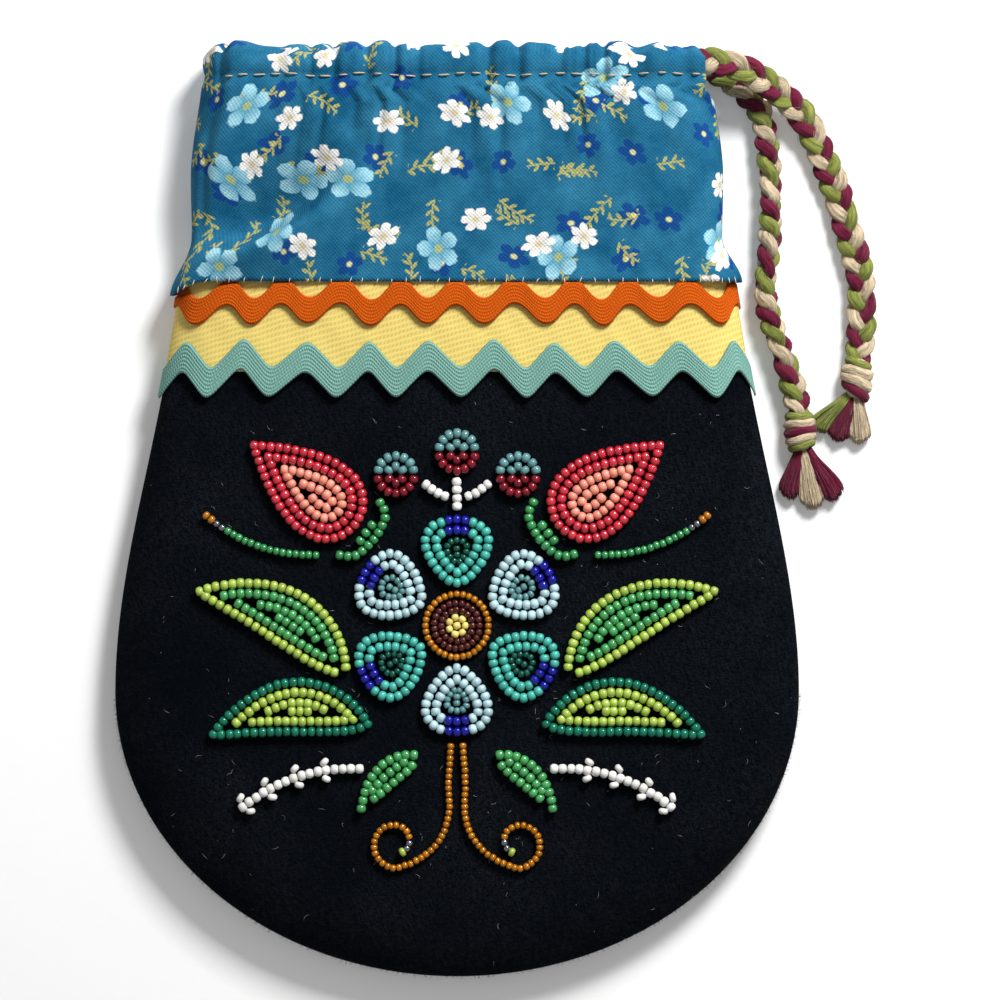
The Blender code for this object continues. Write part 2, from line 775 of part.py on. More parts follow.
def leaf_outline(start, end, half_width, bow, inset=0.0, count=12):
    """A pointed leaf between two points, bowed to one side, anticlockwise."""
    start, end = np.array(start), np.array(end)
    axis = end - start
    length = np.linalg.norm(axis)
    side = np.array([-axis[1], axis[0]]) / length
    t = np.linspace(0.0, 2.0 * math.pi, count, endpoint=False)
    along = 0.5 + (0.5 - 2.6 * inset / length) * np.cos(t)
    across = (half_width - inset) * np.sin(t) * np.abs(np.sin(t)) ** 0.35 * (1.0 - 0.25 * np.cos(t))
    middle = bow * length * 4.0 * along * (1.0 - along)
    return start + np.outer(along, axis) + np.outer(across + middle, side)


def bowed_path(start, end, bow, count):
    """Points on a parabola between two points, bowed to one side."""
    start, end = np.array(start), np.array(end)
    axis = end - start
    side = np.array([-axis[1], axis[0]]) / np.linalg.norm(axis)
    t = np.linspace(0.0, 1.0, count)
    rise = bow * np.linalg.norm(axis) * 4.0 * t * (1.0 - t)
    return start + np.outer(t, axis) + np.outer(rise, side)


def scroll_path(count=22):
    """Down from the leaves' foot, out along a low sweep and round into a spiral."""
    turn_off = (SCROLL_START[0] + 0.6, SCROLL_DROP_Y)
    drop = bowed_path(SCROLL_START, turn_off, 0.0, 4)
    sweep = bowed_path(turn_off, (SCROLL_CENTRE[0], SCROLL_CENTRE[1] - SCROLL_R), -0.22, 6)
    turn = np.linspace(-90.0, 250.0, count - 10)
    radius = np.linspace(SCROLL_R, 2.2, count - 10)
    angle = np.radians(turn)
    spiral = np.column_stack([
        SCROLL_CENTRE[0] + radius * np.cos(angle), SCROLL_CENTRE[1] + radius * np.sin(angle)])
    return np.concatenate([drop[:-1], sweep[:-1], spiral])


def sprig_outline():
    """A white sprig: a bowed stem with barbs on both sides, as one outline."""
    stem = bowed_path(*SPRIG, 3 * SPRIG_BARBS + 2)
    along = np.gradient(stem, axis=0)
    along /= np.linalg.norm(along, axis=1)[:, None]
    side = np.column_stack([-along[:, 1], along[:, 0]])
    half = STEM / 2.0
    reach = np.full(len(stem), half)
    lead = np.zeros(len(stem))
    reach[3:-1:3] = BARB_REACH
    lead[3:-1:3] = BARB_LEAD
    right = stem - side * reach[:, None] + along * lead[:, None]
    left = stem + side * reach[:, None] + along * lead[:, None]
    return np.concatenate([right, left[::-1]])


def fork_outline():
    """The berries' forked white stem, as one outline from its foot up."""
    half = STEM / 2.0
    foot = ROSETTE[1] + PETAL_MIDDLE + PETAL_LENGTH_HALF + GAP
    side = BERRY_SIDE
    reach = side[0] - BERRY_R - GAP
    top = BERRY_TOP[1] - BERRY_R - GAP
    right = [(half, foot), (half, 1.6), (4.4, 3.0), (reach, side[1] - 2.2),
             (reach - 0.3, side[1] - 0.4), (3.6, 4.8), (half, 3.9), (half, top)]
    right = np.array(right)
    return np.concatenate([right, right[::-1] * np.array([-1.0, 1.0])])


def half_circle(centre, radius, from_degrees, count):
    """Half of a disc, anticlockwise, drawn off its straight side by half a gap."""
    angle = np.radians(np.linspace(from_degrees, from_degrees + 180.0, count))
    lift = np.radians(from_degrees + 90.0)
    shift = GAP / 2.0 * np.array([math.cos(lift), math.sin(lift)])
    arc = np.column_stack([centre[0] + radius * np.cos(angle), centre[1] + radius * np.sin(angle)])
    return arc + shift


def add_rosette(finishes):
    """Six ringed petals with a drop in each, round a gold ring, a maroon ring and a centre."""
    petal = petal_outline()
    hole = petal_outline(2.0 * ROW)
    drop = petal_outline(2.0 * ROW + GAP, count=8)
    for k in range(PETALS):
        degrees = 90.0 + 360.0 / PETALS * k
        name = str(k + 1)
        add_ring("petal_" + name, place(petal, ROSETTE, degrees), place(hole, ROSETTE, degrees),
                 finishes["turquoise" if k % 2 == 0 else "pale_blue"])
        add_pad("petal_drop_" + name, place(drop, ROSETTE, degrees),
                finishes["emerald" if k % 2 == 0 else "aqua"], edge=0.25)
    gold = [circle(ROSETTE, GOLD_RING_R + side * STEM / 2.0, 14) for side in (1.0, -1.0)]
    add_ring("rosette_gold_ring", *gold, finishes["gold"])
    maroon = [circle(ROSETTE, radius, 12) for radius in (GOLD_RING_R - STEM / 2.0 - GAP, YELLOW_R + GAP)]
    add_ring("rosette_maroon_ring", *maroon, finishes["maroon"])
    add_pad("rosette_yellow_centre", circle(ROSETTE, YELLOW_R, 10), finishes["yellow"])


def on_both_sides(add, name, shapes, *values):
    """The same motif on the right and, mirrored, on the left."""
    add(name.replace("*", "right"), *shapes, *values)
    add(name.replace("*", "left"), *[mirrored(shape) for shape in shapes], *values)


def add_buds(finishes):
    """Pointed red buds with a coral fill and green sepals at the base."""
    shell, hole, fill = [
        place(bud_outline(inset), BUD_BASE, BUD_ANGLE) for inset in (0.0, 2.0 * ROW, 2.0 * ROW + GAP)]
    on_both_sides(add_ring, "bud_*_shell", [shell, hole], finishes["red"])
    on_both_sides(add_pad, "bud_*_fill", [fill], finishes["coral"])
    sepals = [(-0.7, 0.0), (-1.2, -2.4), (1.4, -8.0), (-4.2, -5.6), (-5.0, 0.0),
              (-4.2, 5.6), (1.4, 8.0), (-1.2, 2.4)]
    sepals = place(np.array(sepals)[::-1], BUD_BASE, BUD_ANGLE)
    on_both_sides(add_prism, "bud_*_sepals", [sepals], finishes["green"])


def add_berries(finishes):
    """Three round berries, aqua above and dark red below, on a forked white stem."""
    places = {"left": (-BERRY_SIDE[0], BERRY_SIDE[1]), "middle": BERRY_TOP, "right": BERRY_SIDE}
    for side, centre in places.items():
        add_pad("berry_" + side + "_aqua", half_circle(centre, BERRY_R, 0.0, 9), finishes["aqua"])
        add_pad("berry_" + side + "_red", half_circle(centre, BERRY_R, 180.0, 9), finishes["maroon"])
    add_prism("white_stem", fork_outline(), finishes["white"])


def add_leaves(finishes):
    """Ringed lime and dark green leaves, and a small plain one, on each side."""
    for name, leaf, rim, fill in (("lime", LIME_LEAF, "lime", "mid_green"),
                                  ("dark", DARK_LEAF, "dark_green", "lime")):
        outline, hole, middle = [leaf_outline(*leaf, inset) for inset in (0.0, ROW, ROW + GAP)]
        on_both_sides(add_ring, name + "_leaf_*_rim", [outline, hole], finishes[rim])
        on_both_sides(add_pad, name + "_leaf_*_fill", [middle], finishes[fill])
    on_both_sides(add_pad, "small_leaf_*", [leaf_outline(*SMALL_LEAF, count=12)], finishes["mid_green"])


def add_sprays(finishes):
    """White sprigs, green curls and gold scrolls."""
    on_both_sides(add_prism, "white_sprig_*", [sprig_outline()], finishes["white"])
    on_both_sides(add_string, "green_curl_*", [bowed_path(*CURL, 9)], STEM, finishes["green"])
    on_both_sides(add_string, "gold_scroll_*", [scroll_path()], STEM, finishes["gold"])


def make_finishes():
    """Colours of the cloths, the yarn and the glass."""
    cloth = {
        "wool": ((0.006, 0.008, 0.014), 0.95),
        "cotton": ((0.02, 0.16, 0.32), 0.85),
        "band": ((0.93, 0.76, 0.22), 0.8),
        "orange": ((0.67, 0.094, 0.004), 0.75),
        "teal": ((0.16, 0.49, 0.40), 0.75),
        "yarn": ((0.62, 0.56, 0.46), 0.9),
    }
    glass = {
        "turquoise": (0.02, 0.35, 0.33), "pale_blue": (0.35, 0.62, 0.72),
        "emerald": (0.0, 0.12, 0.08), "aqua": (0.10, 0.38, 0.42), "gold": (0.6, 0.28, 0.02),
        "maroon": (0.22, 0.004, 0.01), "yellow": (0.9, 0.72, 0.25), "red": (0.62, 0.02, 0.04),
        "coral": (0.85, 0.22, 0.17), "green": (0.02, 0.25, 0.06), "white": (0.85, 0.85, 0.83),
        "lime": (0.36, 0.62, 0.06), "mid_green": (0.05, 0.38, 0.12), "dark_green": (0.0, 0.2, 0.11),
    }
    finishes = {name: material(name, colour, rough) for name, (colour, rough) in cloth.items()}
    for name, colour in glass.items():
        finishes[name] = material(name, colour, 0.2)
    return finishes


def build():
    """Make every piece of the bag."""
    for old in list(bpy.data.objects):
        bpy.data.objects.remove(old)
    finishes = make_finishes()
    add_panel("front_panel", True, finishes["wool"])
    add_panel("back_panel", False, finishes["wool"])
    for side, front in (("front", True), ("back", False)):
        add_band("yellow_band_" + side, front, finishes["band"])
        add_rickrack("orange_rickrack_" + side, front, ORANGE_Y, ORANGE_WAVES, ORANGE_SHIFT,
                     ORANGE_SWING, ORANGE_RIBBON, finishes["orange"])
        add_rickrack("teal_rickrack_" + side, front, TEAL_Y, TEAL_WAVES, TEAL_SHIFT,
                     TEAL_SWING, TEAL_RIBBON, finishes["teal"])
        add_collar("collar_" + side, front, 34 if front else 16, finishes["cotton"])
    add_cord("drawstring", drawstring_route(), finishes["yarn"])
    add_cord_end("outer", OUTER_KNOT, finishes["yarn"], finishes["yarn"])
    add_cord_end("inner", INNER_KNOT, finishes["yarn"], finishes["yarn"])
    add_rosette(finishes)
    add_buds(finishes)
    add_berries(finishes)
    add_leaves(finishes)
    add_sprays(finishes)


build()
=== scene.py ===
"""Looks of the beaded drawstring tobacco bag: its cloths, trims, plaited drawstring and beads.

Shapes are worked out in millimetres in the model's frame and scaled by MM as they become meshes.
"""

import math

import bmesh
import bpy
import numpy as np
from bpy.props import FloatProperty, FloatVectorProperty, IntProperty, PointerProperty
from bpy.types import Operator, Panel, PropertyGroup
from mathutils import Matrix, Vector


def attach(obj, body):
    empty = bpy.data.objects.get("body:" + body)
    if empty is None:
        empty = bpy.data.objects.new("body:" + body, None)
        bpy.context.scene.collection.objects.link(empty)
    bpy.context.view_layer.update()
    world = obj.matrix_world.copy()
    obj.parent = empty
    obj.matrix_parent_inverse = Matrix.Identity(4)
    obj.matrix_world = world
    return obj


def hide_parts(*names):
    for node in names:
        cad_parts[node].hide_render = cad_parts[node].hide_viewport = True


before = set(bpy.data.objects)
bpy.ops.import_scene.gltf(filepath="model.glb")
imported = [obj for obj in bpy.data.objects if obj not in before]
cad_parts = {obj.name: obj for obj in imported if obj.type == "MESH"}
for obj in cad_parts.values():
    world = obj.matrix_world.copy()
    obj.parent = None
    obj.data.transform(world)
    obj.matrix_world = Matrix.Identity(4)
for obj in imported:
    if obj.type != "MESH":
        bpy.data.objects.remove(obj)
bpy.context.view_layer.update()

bl_info = {
    "name": "Beaded tobacco bag",
    "version": (1, 0, 0),
    "blender": (4, 5, 0),
    "location": "View3D > Sidebar > Tobacco bag",
    "description": "Dresses a drawstring bag in wool, printed cotton, rickrack, plaited yarn and beads",
    "category": "Add Mesh",
}

MM = 0.001
UP = np.array([0.0, 0.0, 1.0])
GAP = 0.3
HAIR = np.array([0.0, 1.0, 0.9, 0.0])
HAIR_RINGS = len(HAIR)

# Wool pouch
WIDEST_HALF = 72.0
WIDEST_Y = -38.0
BOTTOM_DEPTH = 60.0
TAPER_HALF = 60.1
TAPER_Y = 34.9
TAPER_SLOPE = -0.165
POUCH_TOP_Y = 51.0
WOOL = 1.8
FRONT_Z = 11.6
POUCH_SEAM_Z = 5.4
NECK_SEAM_Z = 6.8
NECK_START_Y = 8.0
NECK_END_Y = 24.0
EDGE_ROLL = 5.0
CROWN_RUN = 15.0
SECTION_POINTS = 34
SEAM_GAP = 0.3
FRONT_FIBRES = 4800
RIM_FIBRES = 2200
FIRST_RIM_FIBRE = 90

# Trims
BAND = 0.5
BAND_LOW_Y = 29.2
BAND_HIGH_Y = 49.6
RICKRACK = 1.0
RIBS = 8
TRIM_LIFT = 0.2
ORANGE = {"middle": 43.9, "waves": 10.3, "shift": 0.0, "swing": 2.1, "ribbon": 5.6, "point": -0.02}
TEAL = {"middle": 29.7, "waves": 9.9, "shift": -0.43, "swing": 2.55, "ribbon": 6.4, "point": 0.05}

# Collar
COTTON = 0.5
COLLAR_YS = (48.1, 57.5, 70.0, 94.3)
COLLAR_HALVES = (60.0, 55.8, 56.0, 53.4)
HEM_Y = COLLAR_YS[0]
CASING_Y = COLLAR_YS[-1]
STITCH_Y = 91.2
HEM_RADIUS = 6.0
CASING_RADIUS = 9.0
MOUTH_GAP = 4.6
HEM_DROOP = 2.8
GATHER_FADE_Y = 60.0
CORNER_SHARE = 0.12
SLIT_LOW_Y = 86.0
SLIT_HIGH_Y = STITCH_Y - 1.0
SLIT_RADIUS = 1.5
PRESS_START_Y = 80.0
STITCHED_LENGTH = 112.0
RUNNING_STITCHES = 29
HEM_STITCHES = 42

# Drawstring
CORD = 3.8
STRAND_SIDES = 18
STRAND_AROUND = 7.8
TAIL_FIBRES = 1100
KNOT_LENGTH = 7.4
KNOT_Z = 2.9
OUTER_TAIL = (
    (50.0, 94.3, 12.7), (55.0, 94.0, 12.5), (60.0, 92.6, 10.9), (64.6, 90.2, 8.3),
    (68.8, 87.1, 5.6), (72.4, 83.4, 3.5), (75.2, 79.2, 2.3), (77.4, 74.5, 2.0),
    (79.3, 70.0, 2.0), (80.9, 65.2, 2.0), (82.4, 60.4, 2.0), (83.8, 55.4, 2.0),
    (84.9, 50.2, 2.0), (85.4, 45.0, 2.0), (85.3, 39.8, 2.0), (84.9, 35.4, 2.0),
    (84.5, 32.4, 2.2), (84.4, 30.4, 2.6),
)
INNER_TAIL = (
    (50.0, 94.2, 2.7), (54.6, 92.8, 2.5), (58.6, 90.3, 2.1), (61.9, 87.2, 2.0),
    (64.2, 83.4, 2.0), (65.3, 79.0, 2.0), (65.8, 74.0, 2.0), (66.1, 68.6, 2.0),
    (66.2, 63.2, 2.0), (66.1, 58.0, 2.0), (65.5, 53.0, 2.0), (65.0, 48.2, 2.0),
    (65.4, 43.4, 2.0), (66.8, 38.2, 2.0), (68.7, 33.0, 2.0), (70.4, 28.0, 2.0),
    (71.6, 23.6, 2.0), (72.0, 21.2, 2.2), (72.2, 19.3, 2.6),
)
OUTER_KNOT = ((84.3, 28.0), (-0.12, -1.0))
INNER_KNOT = ((72.4, 16.9), (0.1, -1.0))
YARNS = ("cream", "green", "maroon")
CREAM, GREEN, MAROON = range(len(YARNS))
OUTER_WRAPS = ((-3.1, 0.5, 0.85, GREEN), (-1.2, 0.4, 1.35, CREAM), (0.6, 0.9, 1.4, CREAM),
               (2.5, 1.3, 1.1, MAROON))
INNER_WRAPS = ((-3.0, 0.2, 1.0, GREEN), (-1.5, 0.0, 1.05, CREAM), (0.1, -0.3, 1.05, MAROON),
               (1.6, -0.5, 1.05, CREAM), (3.0, -0.4, 0.95, GREEN))
OUTER_LOBES = ((GREEN, -6.0, 3.5, 0.86), (MAROON, -2.2, 3.2, 1.0), (CREAM, 2.0, 3.0, 1.0))
INNER_LOBES = ((MAROON, -3.2, 2.8, 0.84), (CREAM, 1.2, 3.4, 1.04), (MAROON, 5.4, 3.1, 0.94))

# Beadwork
ROW = 2.2
ROSETTE = (0.0, -24.0)
PETALS = 6
PETAL_MIDDLE = 15.6
PETAL_LENGTH_HALF = 7.7
PETAL_WIDTH_HALF = 7.4
GOLD_RING_R = 6.6
BUD_BASE = (20.5, -3.5)
BUD_LENGTH = 30.0
BUD_WIDTH_HALF = 10.0
BUD_ANGLE = 38.0
BERRY_R = 4.9
BERRY_SIDE = (12.8, 7.6)
BERRY_TOP = (0.0, 12.4)
LIME_LEAF = ((22.4, -34.5), (55.5, -16.5), 6.3, 0.12)
DARK_LEAF = ((17.5, -44.5), (52.5, -47.5), 6.2, 0.14)
SMALL_LEAF = ((7.0, -50.5), (21.0, -64.0), 3.2, 0.1)
SPRIG = ((19.5, -54.0), (45.5, -62.5), 0.1)
CURL = ((28.9, -9.2), (53.0, -0.5), -0.1)
SCROLL_START = (1.25, -48.6)
SCROLL_DROP_Y = -58.0
SCROLL_CENTRE = (12.8, -69.5)
SCROLL_R = 5.4
ARC_POINTS = 90
BEAD_ROOM = 0.66
FINE_ROOM = 0.6
BEAD_SIDES = 8
BEAD_PROFILE = np.array([(-0.36, 0.24), (-0.5, 0.42), (-0.43, 0.74), (-0.18, 0.98), (0.18, 0.98),
                         (0.43, 0.74), (0.5, 0.42), (0.36, 0.24)])
BEAD_POINTS = len(BEAD_PROFILE) * BEAD_SIDES

# Looks
FINISH_ORDER = [
    "turquoise", "pale_blue", "emerald", "aqua", "cobalt", "gold", "maroon", "brown", "yellow",
    "red", "coral", "green", "white", "lime", "mid_green", "dark_green", "steel", "amber",
]
BRAID_START = 30.5
PRINT_INPUTS = {"Cell": 16.0, "Size": 3.4, "Share": 1.0, "Shift": (0.0, 0.0, 0.0), "Petals": 5.0}
GLASS_IOR, LUSTRE_IOR = 1.5, 1.95
CLEAR, LUSTRE, PLAIN = 0.05, 0.2, 0.28
# Of each glass: its roughness, its edge's share of the colour, its metal and its coat's roughness
LUSTROUS = (0.25, 0.55, 0.0, LUSTRE)
GLASS_KINDS = {
    "emerald": (0.16, 0.35, 0.0, CLEAR), "aqua": (0.2, 0.5, 0.0, CLEAR),
    "cobalt": (0.15, 0.3, 0.0, CLEAR), "gold": (0.2, 0.4, 0.3, CLEAR),
    "steel": (0.22, 0.6, 0.9, CLEAR), "amber": (0.12, 0.35, 0.1, CLEAR),
    "maroon": (0.16, 0.4, 0.0, CLEAR), "brown": (0.18, 0.4, 0.0, CLEAR),
    "dark_green": (0.2, 0.45, 0.0, CLEAR), "red": (0.2, 0.5, 0.0, LUSTRE),
    "coral": (0.35, 0.7, 0.0, PLAIN), "white": (0.3, 0.75, 0.0, PLAIN),
    "yellow": (0.3, 0.7, 0.0, PLAIN), "turquoise": (0.3, 0.6, 0.0, PLAIN),
}


def colour_setting(name, default):
    """A colour that a user may change."""
    return FloatVectorProperty(
        name=name, description=name + " colour, linear", default=default, subtype="COLOR",
        size=3, min=0.0, max=1.0)


def length_setting(name, description, default):
    """A length that a user may change."""
    return FloatProperty(
        name=name, description=description, default=default, unit="LENGTH", precision=5, min=0.0)


class BagSizes(PropertyGroup):
    """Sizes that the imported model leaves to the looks."""

    bead: length_setting("Bead", "Diameter of the beads in the petals, buds and leaves", 0.00218)
    pitch: length_setting("Bead pitch", "From one bead to the next on its thread", 0.00174)
    fine_bead: length_setting("Fine bead", "Diameter of the beads in the rings, curls and scrolls", 0.0016)
    pucker: length_setting("Pucker", "Height of the gathers at the casing", 0.0016)
    yarn: length_setting("Yarn", "Radius of one strand of the plait", 0.00134)
    plait_turn: length_setting("Plait turn", "Length in which a strand crosses over and back", 0.0117)
    stitch: length_setting("Running stitch", "Length of a stitch along the casing", 0.002)
    puckers: IntProperty(name="Puckers", description="Gathers across the collar", default=17, min=3)


class BagColours(PropertyGroup):
    """Colours of the cloths, yarns and beads."""

    wool: colour_setting("Wool", (0.0012, 0.0022, 0.0040))
    cotton: colour_setting("Cotton", (0.007, 0.123, 0.232))
    band: colour_setting("Twill band", (0.70, 0.545, 0.155))
    orange: colour_setting("Orange rickrack", (0.54, 0.084, 0.0))
    teal: colour_setting("Teal rickrack", (0.165, 0.34, 0.29))
    cream_yarn: colour_setting("Cream yarn", (0.60, 0.48, 0.32))
    green_yarn: colour_setting("Green yarn", (0.235, 0.265, 0.055))
    maroon_yarn: colour_setting("Maroon yarn", (0.150, 0.008, 0.035))
    thread: colour_setting("Sewing thread", (0.80, 0.76, 0.68))
    turquoise: colour_setting("Turquoise beads", (0.06, 0.46, 0.38))
    pale_blue: colour_setting("Pale blue beads", (0.50, 0.74, 0.80))
    emerald: colour_setting("Emerald beads", (0.0, 0.085, 0.055))
    aqua: colour_setting("Aqua beads", (0.12, 0.29, 0.30))
    cobalt: colour_setting("Cobalt beads", (0.003, 0.005, 0.30))
    gold: colour_setting("Gold beads", (0.58, 0.205, 0.003))
    maroon: colour_setting("Maroon beads", (0.20, 0.003, 0.012))
    brown: colour_setting("Brown beads", (0.075, 0.008, 0.006))
    yellow: colour_setting("Yellow beads", (0.93, 0.72, 0.19))
    red: colour_setting("Red beads", (0.62, 0.014, 0.035))
    coral: colour_setting("Coral beads", (0.95, 0.31, 0.22))
    green: colour_setting("Green beads", (0.025, 0.28, 0.07))
    white: colour_setting("White beads", (0.93, 0.90, 0.85))
    lime: colour_setting("Lime beads", (0.42, 0.60, 0.07))
    mid_green: colour_setting("Mid green beads", (0.05, 0.36, 0.09))
    dark_green: colour_setting("Dark green beads", (0.0, 0.17, 0.095))
    steel: colour_setting("Steel beads", (0.27, 0.29, 0.34))
    amber: colour_setting("Amber beads", (0.50, 0.17, 0.006))


def sizes():
    """The scene's sizes, in metres."""
    return bpy.context.scene.bag_sizes


def colours():
    """The scene's colours."""
    return bpy.context.scene.bag_colours


# Meshes


def grid_faces(rows, columns, wrap=False):
    """Quads of a rows by columns grid of points, its last column joined to its first on request."""
    across = columns if wrap else columns - 1
    row, column = np.meshgrid(np.arange(rows - 1), np.arange(across), indexing="ij")
    after = (column + 1) % columns
    corners = [row * columns + column, row * columns + after,
               (row + 1) * columns + after, (row + 1) * columns + column]
    return np.stack(corners, axis=-1).reshape(-1, 4)


def repeated(faces, count, size):
    """One shape's quads for a count of them, each size points after the one before."""
    return (faces[None] + (np.arange(count) * size)[:, None, None]).reshape(-1, 4)


def tube_faces(count, rings, sides):
    """Quads of many tubes that are stored one after the other, ring by ring."""
    return repeated(grid_faces(rings, sides, wrap=True), count, rings * sides)


def finish_mesh(mesh, weld):
    """Merge doubled points on request, and turn every face outwards."""
    shape = bmesh.new()
    shape.from_mesh(mesh)
    if weld:
        bmesh.ops.remove_doubles(shape, verts=shape.verts, dist=1e-7)
        bmesh.ops.dissolve_degenerate(shape, edges=shape.edges, dist=1e-8)
    bmesh.ops.recalc_face_normals(shape, faces=shape.faces)
    shape.to_mesh(mesh)
    shape.free()


def add_piece(name, points, faces, finishes, stands_for, uv=None, tone=None, slots=None,
              weld=False):
    """One finished piece from points in millimetres and quads.

    uv holds each point's place on the cloth in millimetres, tone a value from 0 to 1 for
    each point, and slots the finish of each face.
    """
    mesh = bpy.data.meshes.new(name)
    faces = np.ascontiguousarray(faces, dtype=np.int32)
    mesh.vertices.add(len(points))
    mesh.vertices.foreach_set("co", (np.asarray(points) * MM).astype(np.float32).ravel())
    mesh.loops.add(faces.size)
    mesh.loops.foreach_set("vertex_index", faces.ravel())
    mesh.polygons.add(len(faces))
    mesh.polygons.foreach_set("loop_start", np.arange(0, faces.size, 4, dtype=np.int32))
    mesh.polygons.foreach_set("use_smooth", np.ones(len(faces), dtype=bool))
    for finish in finishes:
        mesh.materials.append(finish)
    if slots is not None:
        mesh.polygons.foreach_set("material_index", np.asarray(slots, dtype=np.int32))
    mesh.update(calc_edges=True)
    if uv is not None:
        layer = mesh.uv_layers.new(name="UVMap")
        layer.data.foreach_set("uv", (np.asarray(uv)[faces.ravel()] * MM).astype(np.float32).ravel())
    if tone is not None:
        layer = mesh.attributes.new("tone", "FLOAT", "POINT")
        layer.data.foreach_set("value", np.asarray(tone, dtype=np.float32))
    finish_mesh(mesh, weld)
    made = bpy.data.objects.new(name, mesh)
    bpy.context.scene.collection.objects.link(made)
    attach(made, "root")
    if stands_for:
        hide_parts(*stands_for)
    return made


def unit(vectors):
    """Vectors scaled to length 1."""
    return vectors / np.maximum(np.linalg.norm(vectors, axis=-1, keepdims=True), 1e-9)


def run_along(path):
    """Length along a path up to each of its points."""
    return np.concatenate([[0.0], np.cumsum(np.linalg.norm(np.diff(path, axis=0), axis=1))])


def tubes(paths, radius, sides=6, flutes=0, flute_depth=0.0, twist=0.0, flat=1.0):
    """Points of many tubes: paths has tubes by rings by 3.

    A ring's point is its path's, plus radius times cosine sideways and sine upwards. Flutes
    swell the radius by a cosine that winds round the tube, and flat lowers its height.
    """
    along = unit(np.gradient(paths, axis=1))
    side = unit(np.cross(along, UP))
    lift = np.cross(side, along)
    angle = np.linspace(0.0, 2.0 * math.pi, sides, endpoint=False)
    winding = np.arange(paths.shape[1])[None, :, None] * twist
    swell = 1.0 + flute_depth * np.cos(flutes * angle + winding)
    reach = np.broadcast_to(radius, paths.shape[:2])[:, :, None] * swell
    return (paths[:, :, None]
            + (reach * np.cos(angle))[..., None] * side[:, :, None]
            + (flat * reach * np.sin(angle))[..., None] * lift[:, :, None])


def capped(count, radius, ease=2):
    """Radii along a tube that is rounded off to a point over its first and last rings."""
    profile = np.full(count, float(radius))
    for k in range(ease):
        share = math.sqrt(1.0 - (1.0 - k / ease) ** 2)
        profile[[k, -1 - k]] = radius * share
    return profile


def grid_normals(grid, up):
    """Unit normals of a grid of points, on the side where up is positive for most of it."""
    normal = unit(np.cross(np.gradient(grid, axis=1), np.gradient(grid, axis=0)))
    return normal if normal[..., 2].mean() * up > 0.0 else -normal


def sheet_faces(rows, columns, folded=False):
    """Quads of a closed sheet: an outer grid, an inner one and the strips between their edges.

    A folded sheet's last row lies on itself, so it has no strip there.
    """
    size = rows * columns
    faces = [grid_faces(rows, columns), grid_faces(rows, columns) + size]
    index = np.arange(size).reshape(rows, columns)
    edges = [index[0], index[:, 0], index[:, -1]] + ([] if folded else [index[-1]])
    for edge in edges:
        faces.append(np.stack([edge[:-1], edge[1:], edge[1:] + size, edge[:-1] + size], axis=1))
    return np.concatenate(faces)


def add_sheet(name, outer, inner, finish, node, slot, folded=False, lay=None, weld=False):
    """A closed sheet between two grids of points, as one piece that stands for its CAD node.

    lay holds the place on the cloth of each point of either grid.
    """
    rows, columns, _ = outer.shape
    points = np.concatenate([outer.reshape(-1, 3), inner.reshape(-1, 3)])
    uv = None if lay is None else np.tile(lay.reshape(-1, 2), (2, 1))
    return add_piece(name, points, sheet_faces(rows, columns, folded), [finish], [node],
                     uv=uv, weld=weld)


def add_tubes(name, groups, finishes, stands_for):
    """One piece from groups of tubes.

    A group holds its tubes' rings of points, the number of each tube's finish, and the steps
    of its UV map along and round a tube, or nothing for them.
    """
    points, faces, slots, uv = [], [], [], []
    first = 0
    for rings, owner, steps in groups:
        count, length, sides, _ = rings.shape
        points.append(rings.reshape(-1, 3))
        faces.append(tube_faces(count, length, sides) + first)
        slots.append(np.repeat(np.broadcast_to(owner, count), (length - 1) * sides))
        first += count * length * sides
        if steps:
            uv.append(around_uv(count, length, sides, *steps))
    return add_piece(name, np.concatenate(points), np.concatenate(faces), finishes, stands_for,
                     uv=np.concatenate(uv) if uv else None, slots=np.concatenate(slots), weld=True)


def around_uv(count, rings, sides, ring_step, around):
    """Places on tubes for their fibres: along the tube, then round it."""
    along = np.arange(rings) * ring_step
    angle = np.linspace(0.0, 1.0, sides, endpoint=False) * around
    u = np.broadcast_to(along[None, :, None] + 37.0 * np.arange(count)[:, None, None],
                        (count, rings, sides))
    v = np.broadcast_to(angle[None, None, :], (count, rings, sides))
    return np.stack([u, v], axis=-1).reshape(-1, 2)


# Shapes that several pieces share


def side_name(front):
    """What the front or back half of a piece is called."""
    return "front" if front else "back"


def smoothstep(t):
    """Ease from 0 to 1 with level ends."""
    t = np.clip(t, 0.0, 1.0)
    return t * t * (3.0 - 2.0 * t)


def eased(value, low, high):
    """Ease from 0 at low to 1 at high."""
    return smoothstep((value - low) / (high - low))


def neck_share(y):
    """0 under the pouch, 1 at its neck, where the trims below lift the back."""
    return eased(y, NECK_START_Y, NECK_END_Y)


def crown_share(run):
    """Share of the front's height at a run in from its rim, along a superellipse."""
    return (1.0 - (1.0 - run / CROWN_RUN) ** 2.4) ** 0.5


def seam_z(y):
    """Height of the side seam."""
    return POUCH_SEAM_Z + (NECK_SEAM_Z - POUCH_SEAM_Z) * neck_share(y)


def back_z(y):
    """Height of the back's underside, over the band and a rickrack at the neck."""
    return (GAP + BAND + GAP + RICKRACK + TRIM_LIFT) * neck_share(y)


def side_half(y):
    """Half width above the widest line: a Hermite ease, then a straight taper."""
    run = TAPER_Y - WIDEST_Y
    t = np.minimum((y - WIDEST_Y) / run, 1.0)
    pull = t * t * (t - 1.0)
    eased = WIDEST_HALF + (TAPER_HALF - WIDEST_HALF) * t * t * (3.0 - 2.0 * t)
    return eased + TAPER_SLOPE * (run * pull + np.maximum(y - TAPER_Y, 0.0))


